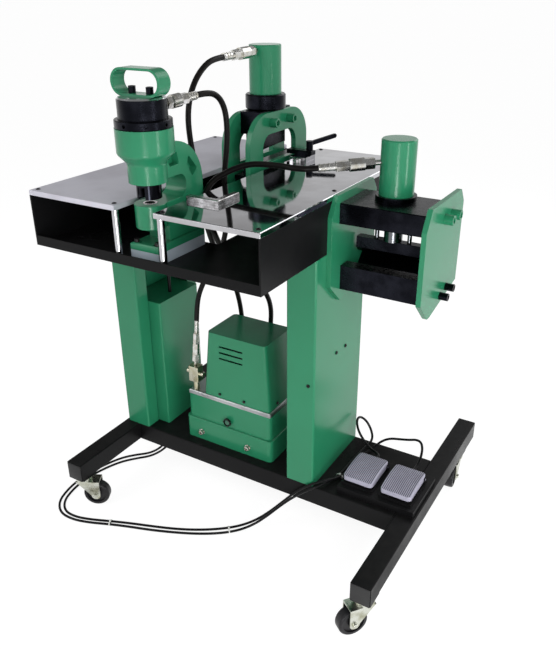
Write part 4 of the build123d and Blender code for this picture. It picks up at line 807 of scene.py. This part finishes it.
# Cables: one from the table down into the control box, and one from each foot
# switch, looped behind the column, over the tray's edge and along the floor.
cable_diameter, cord_diameter = 0.010, 0.007
lay_cord("control_cable_line", "control_cable", [
    (-392, 5, 803), (-392, 5, 752), (-386, 2, 700), (-378, -1, 646), (-374, -2, 600), (-374, -2, 558),
], cable_diameter, cable_skin)
lay_cord("left_pedal_lead", "left_pedal_cord", [
    (-372, -30, 135), (-372, -30, 113), (-376, -40, 85), (-387, -57, 54),
    (-406, -75, 27), (-436, -93, 9), (-470, -114, 4), (-500, -150, 4),
    (-520, -200, 4), (-534, -255, 4), (-538, -310, 4), (-532, -358, 4),
    (-515, -408, 4), (-474, -442, 4), (-420, -444, 4), (-368, -428, 4),
    (-318, -406, 4), (-265, -386, 4), (-205, -366, 4), (-145, -342, 4), (-85, -314, 4),
    (-30, -280, 4), (12, -244, 6), (44, -212, 18), (72, -186, 42),
    (100, -170, 74), (130, -162, 107), (160, -158, 136), (186, -152, 157),
    (206, -135, 166), (218, -104, 163), (226, -68, 159), (230, -28, 159),
    (230, 8, 159), (231, 44, 159), (237, 82, 162), (247, 122, 172),
    (233.5, 141, 191.6), (214.5, 141, 220.4), (201, 121.6, 240.6), (204, 94.4, 240.6),
    (220.5, 75, 220.4), (242.5, 75, 191.6), (256, 72, 182), (270, 68, 178),
    (284, 62, 178), (294, 53, 179.5), (299, 42, 181), (299, 30, 181),
], cord_diameter, cable_skin)
lay_cord("right_pedal_lead", "right_pedal_cord", [
    (-352, -30, 135), (-352, -30, 113), (-356, -42, 87), (-368, -61, 57),
    (-389, -83, 30), (-420, -105, 11), (-456, -128, 4), (-486, -165, 4),
    (-506, -212, 4), (-519, -262, 4), (-523, -308, 4), (-518, -353, 4),
    (-503, -399, 4), (-468, -430, 4), (-422, -432, 4), (-372, -416, 4),
    (-322, -394, 4), (-267, -372, 4), (-208, -351, 4), (-148, -328, 4), (-90, -299, 4),
    (-38, -264, 4), (4, -228, 6), (38, -197, 18), (68, -172, 42),
    (100, -156, 78), (132, -149, 117), (164, -146, 150), (192, -143, 172),
    (214, -122, 177), (229, -92, 168), (238, -60, 161), (241, -22, 159),
    (242, 16, 159), (244, 50, 159), (252, 82, 160), (262, 108, 166),
    (274, 127, 176), (294, 138, 185), (322, 141, 190), (350, 140, 198),
    (373, 137, 209), (391, 126, 213), (402, 108, 206), (407, 86, 195),
    (408, 65, 185), (406, 47, 181), (406, 30, 181),
], cord_diameter, cable_skin)

# Studio: a pale floor that keeps the shadows, white all round for the camera, a dimmer
# ceiling for reflections, and five soft lamps.
bpy.ops.mesh.primitive_plane_add(size=240.0)
floor = bpy.context.object
floor.name = "studio_floor"
floor_paint, tree, shader = new_material("studio_floor")
shader.inputs["Base Color"].default_value = (0.86, 0.86, 0.86, 1.0)
shader.inputs["Roughness"].default_value = 0.9
rays = add_node(tree, "ShaderNodeLightPath")
seen = add_node(tree, "ShaderNodeMath", operation="MAXIMUM")
share = add_node(tree, "ShaderNodeMath", operation="MULTIPLY")
glow = add_node(tree, "ShaderNodeEmission")
glow.inputs["Strength"].default_value = 1.19
mixed = add_node(tree, "ShaderNodeMixShader")
share.inputs[1].default_value = 0.75
tree.links.new(rays.outputs["Is Camera Ray"], seen.inputs[0])
tree.links.new(rays.outputs["Is Glossy Ray"], seen.inputs[1])
tree.links.new(seen.outputs["Value"], share.inputs[0])
tree.links.new(share.outputs["Value"], mixed.inputs["Fac"])
tree.links.new(shader.outputs["BSDF"], mixed.inputs[1])
tree.links.new(glow.outputs["Emission"], mixed.inputs[2])
tree.links.new(mixed.outputs["Shader"], tree.nodes["Material Output"].inputs["Surface"])
floor.data.materials.append(floor_paint)

world = bpy.data.worlds.new("studio_world")
bpy.context.scene.world = world
world.use_nodes = True
sky = world.node_tree
backdrop = sky.nodes["Background"]
backdrop.inputs["Color"].default_value = (1.0, 1.0, 1.0, 1.0)
rays = add_node(sky, "ShaderNodeLightPath")
aim = add_node(sky, "ShaderNodeTexCoord")
height = add_node(sky, "ShaderNodeSeparateXYZ")
ceiling = add_node(sky, "ShaderNodeMapRange", interpolation_type="SMOOTHSTEP")
mirrored = add_node(sky, "ShaderNodeMath", operation="MAXIMUM")
reflected = add_node(sky, "ShaderNodeMix", data_type="FLOAT")
strength = add_node(sky, "ShaderNodeMix", data_type="FLOAT")
ceiling.inputs["From Min"].default_value = 0.08
ceiling.inputs["From Max"].default_value = 0.42
ceiling.inputs["To Min"].default_value = 1.0
ceiling.inputs["To Max"].default_value = 0.24
reflected.inputs["A"].default_value = 0.42
strength.inputs["B"].default_value = 1.0
sky.links.new(aim.outputs["Generated"], height.inputs["Vector"])
sky.links.new(height.outputs["Z"], ceiling.inputs["Value"])
sky.links.new(rays.outputs["Is Glossy Ray"], mirrored.inputs[0])
sky.links.new(rays.outputs["Is Transmission Ray"], mirrored.inputs[1])
sky.links.new(mirrored.outputs["Value"], reflected.inputs["Factor"])
sky.links.new(ceiling.outputs["Result"], reflected.inputs["B"])
sky.links.new(rays.outputs["Is Camera Ray"], strength.inputs["Factor"])
sky.links.new(reflected.outputs["Result"], strength.inputs["A"])
sky.links.new(strength.outputs["Result"], backdrop.inputs["Strength"])

lamp_target = Vector((0, 0, 0.65))
for name, place, width, tall, power in (
    ("key_lamp", (2.3, -1.5, 1.4), 1.5, 1.9, 46.0),
    ("fill_lamp", (-1.7, -1.9, 2.3), 1.6, 1.6, 24.0),
    ("back_lamp", (0.6, 2.2, 2.4), 1.6, 1.6, 20.0),
    ("low_lamp", (1.0, -1.8, 0.3), 0.4, 0.5, 10.0),
    ("strip_lamp", (2.3, -0.3, 0.4), 0.2, 0.8, 6.0),
):
    lamp = bpy.data.lights.new(name, "AREA")
    lamp.shape = "RECTANGLE"
    lamp.size = width
    lamp.size_y = tall
    lamp.energy = power
    light = bpy.data.objects.new(name, lamp)
    light.location = place
    light.visible_camera = False
    light.visible_glossy = name != "key_lamp"
    light.rotation_euler = (lamp_target - Vector(place)).to_track_quat("-Z", "Y").to_euler()
    bpy.context.collection.objects.link(light)

# Camera: where the photograph was taken from, right of the front and above.
camera_data = bpy.data.cameras.new("camera")
camera_data.sensor_width = 36.0
camera_data.lens = 39.33
camera_data.clip_end = 300.0
camera = bpy.data.objects.new("camera", camera_data)
sight = Vector((-0.46326, 0.77266, -0.43402))
up = Vector((-0.21860, 0.37498, 0.90089))
right = sight.cross(up)
turn = Matrix((right, up, -sight)).transposed().to_4x4()
camera.matrix_world = Matrix.Translation((0.8989, -1.5024 + origin_shift, 1.3809)) @ turn
bpy.context.collection.objects.link(camera)
bpy.context.scene.camera = camera
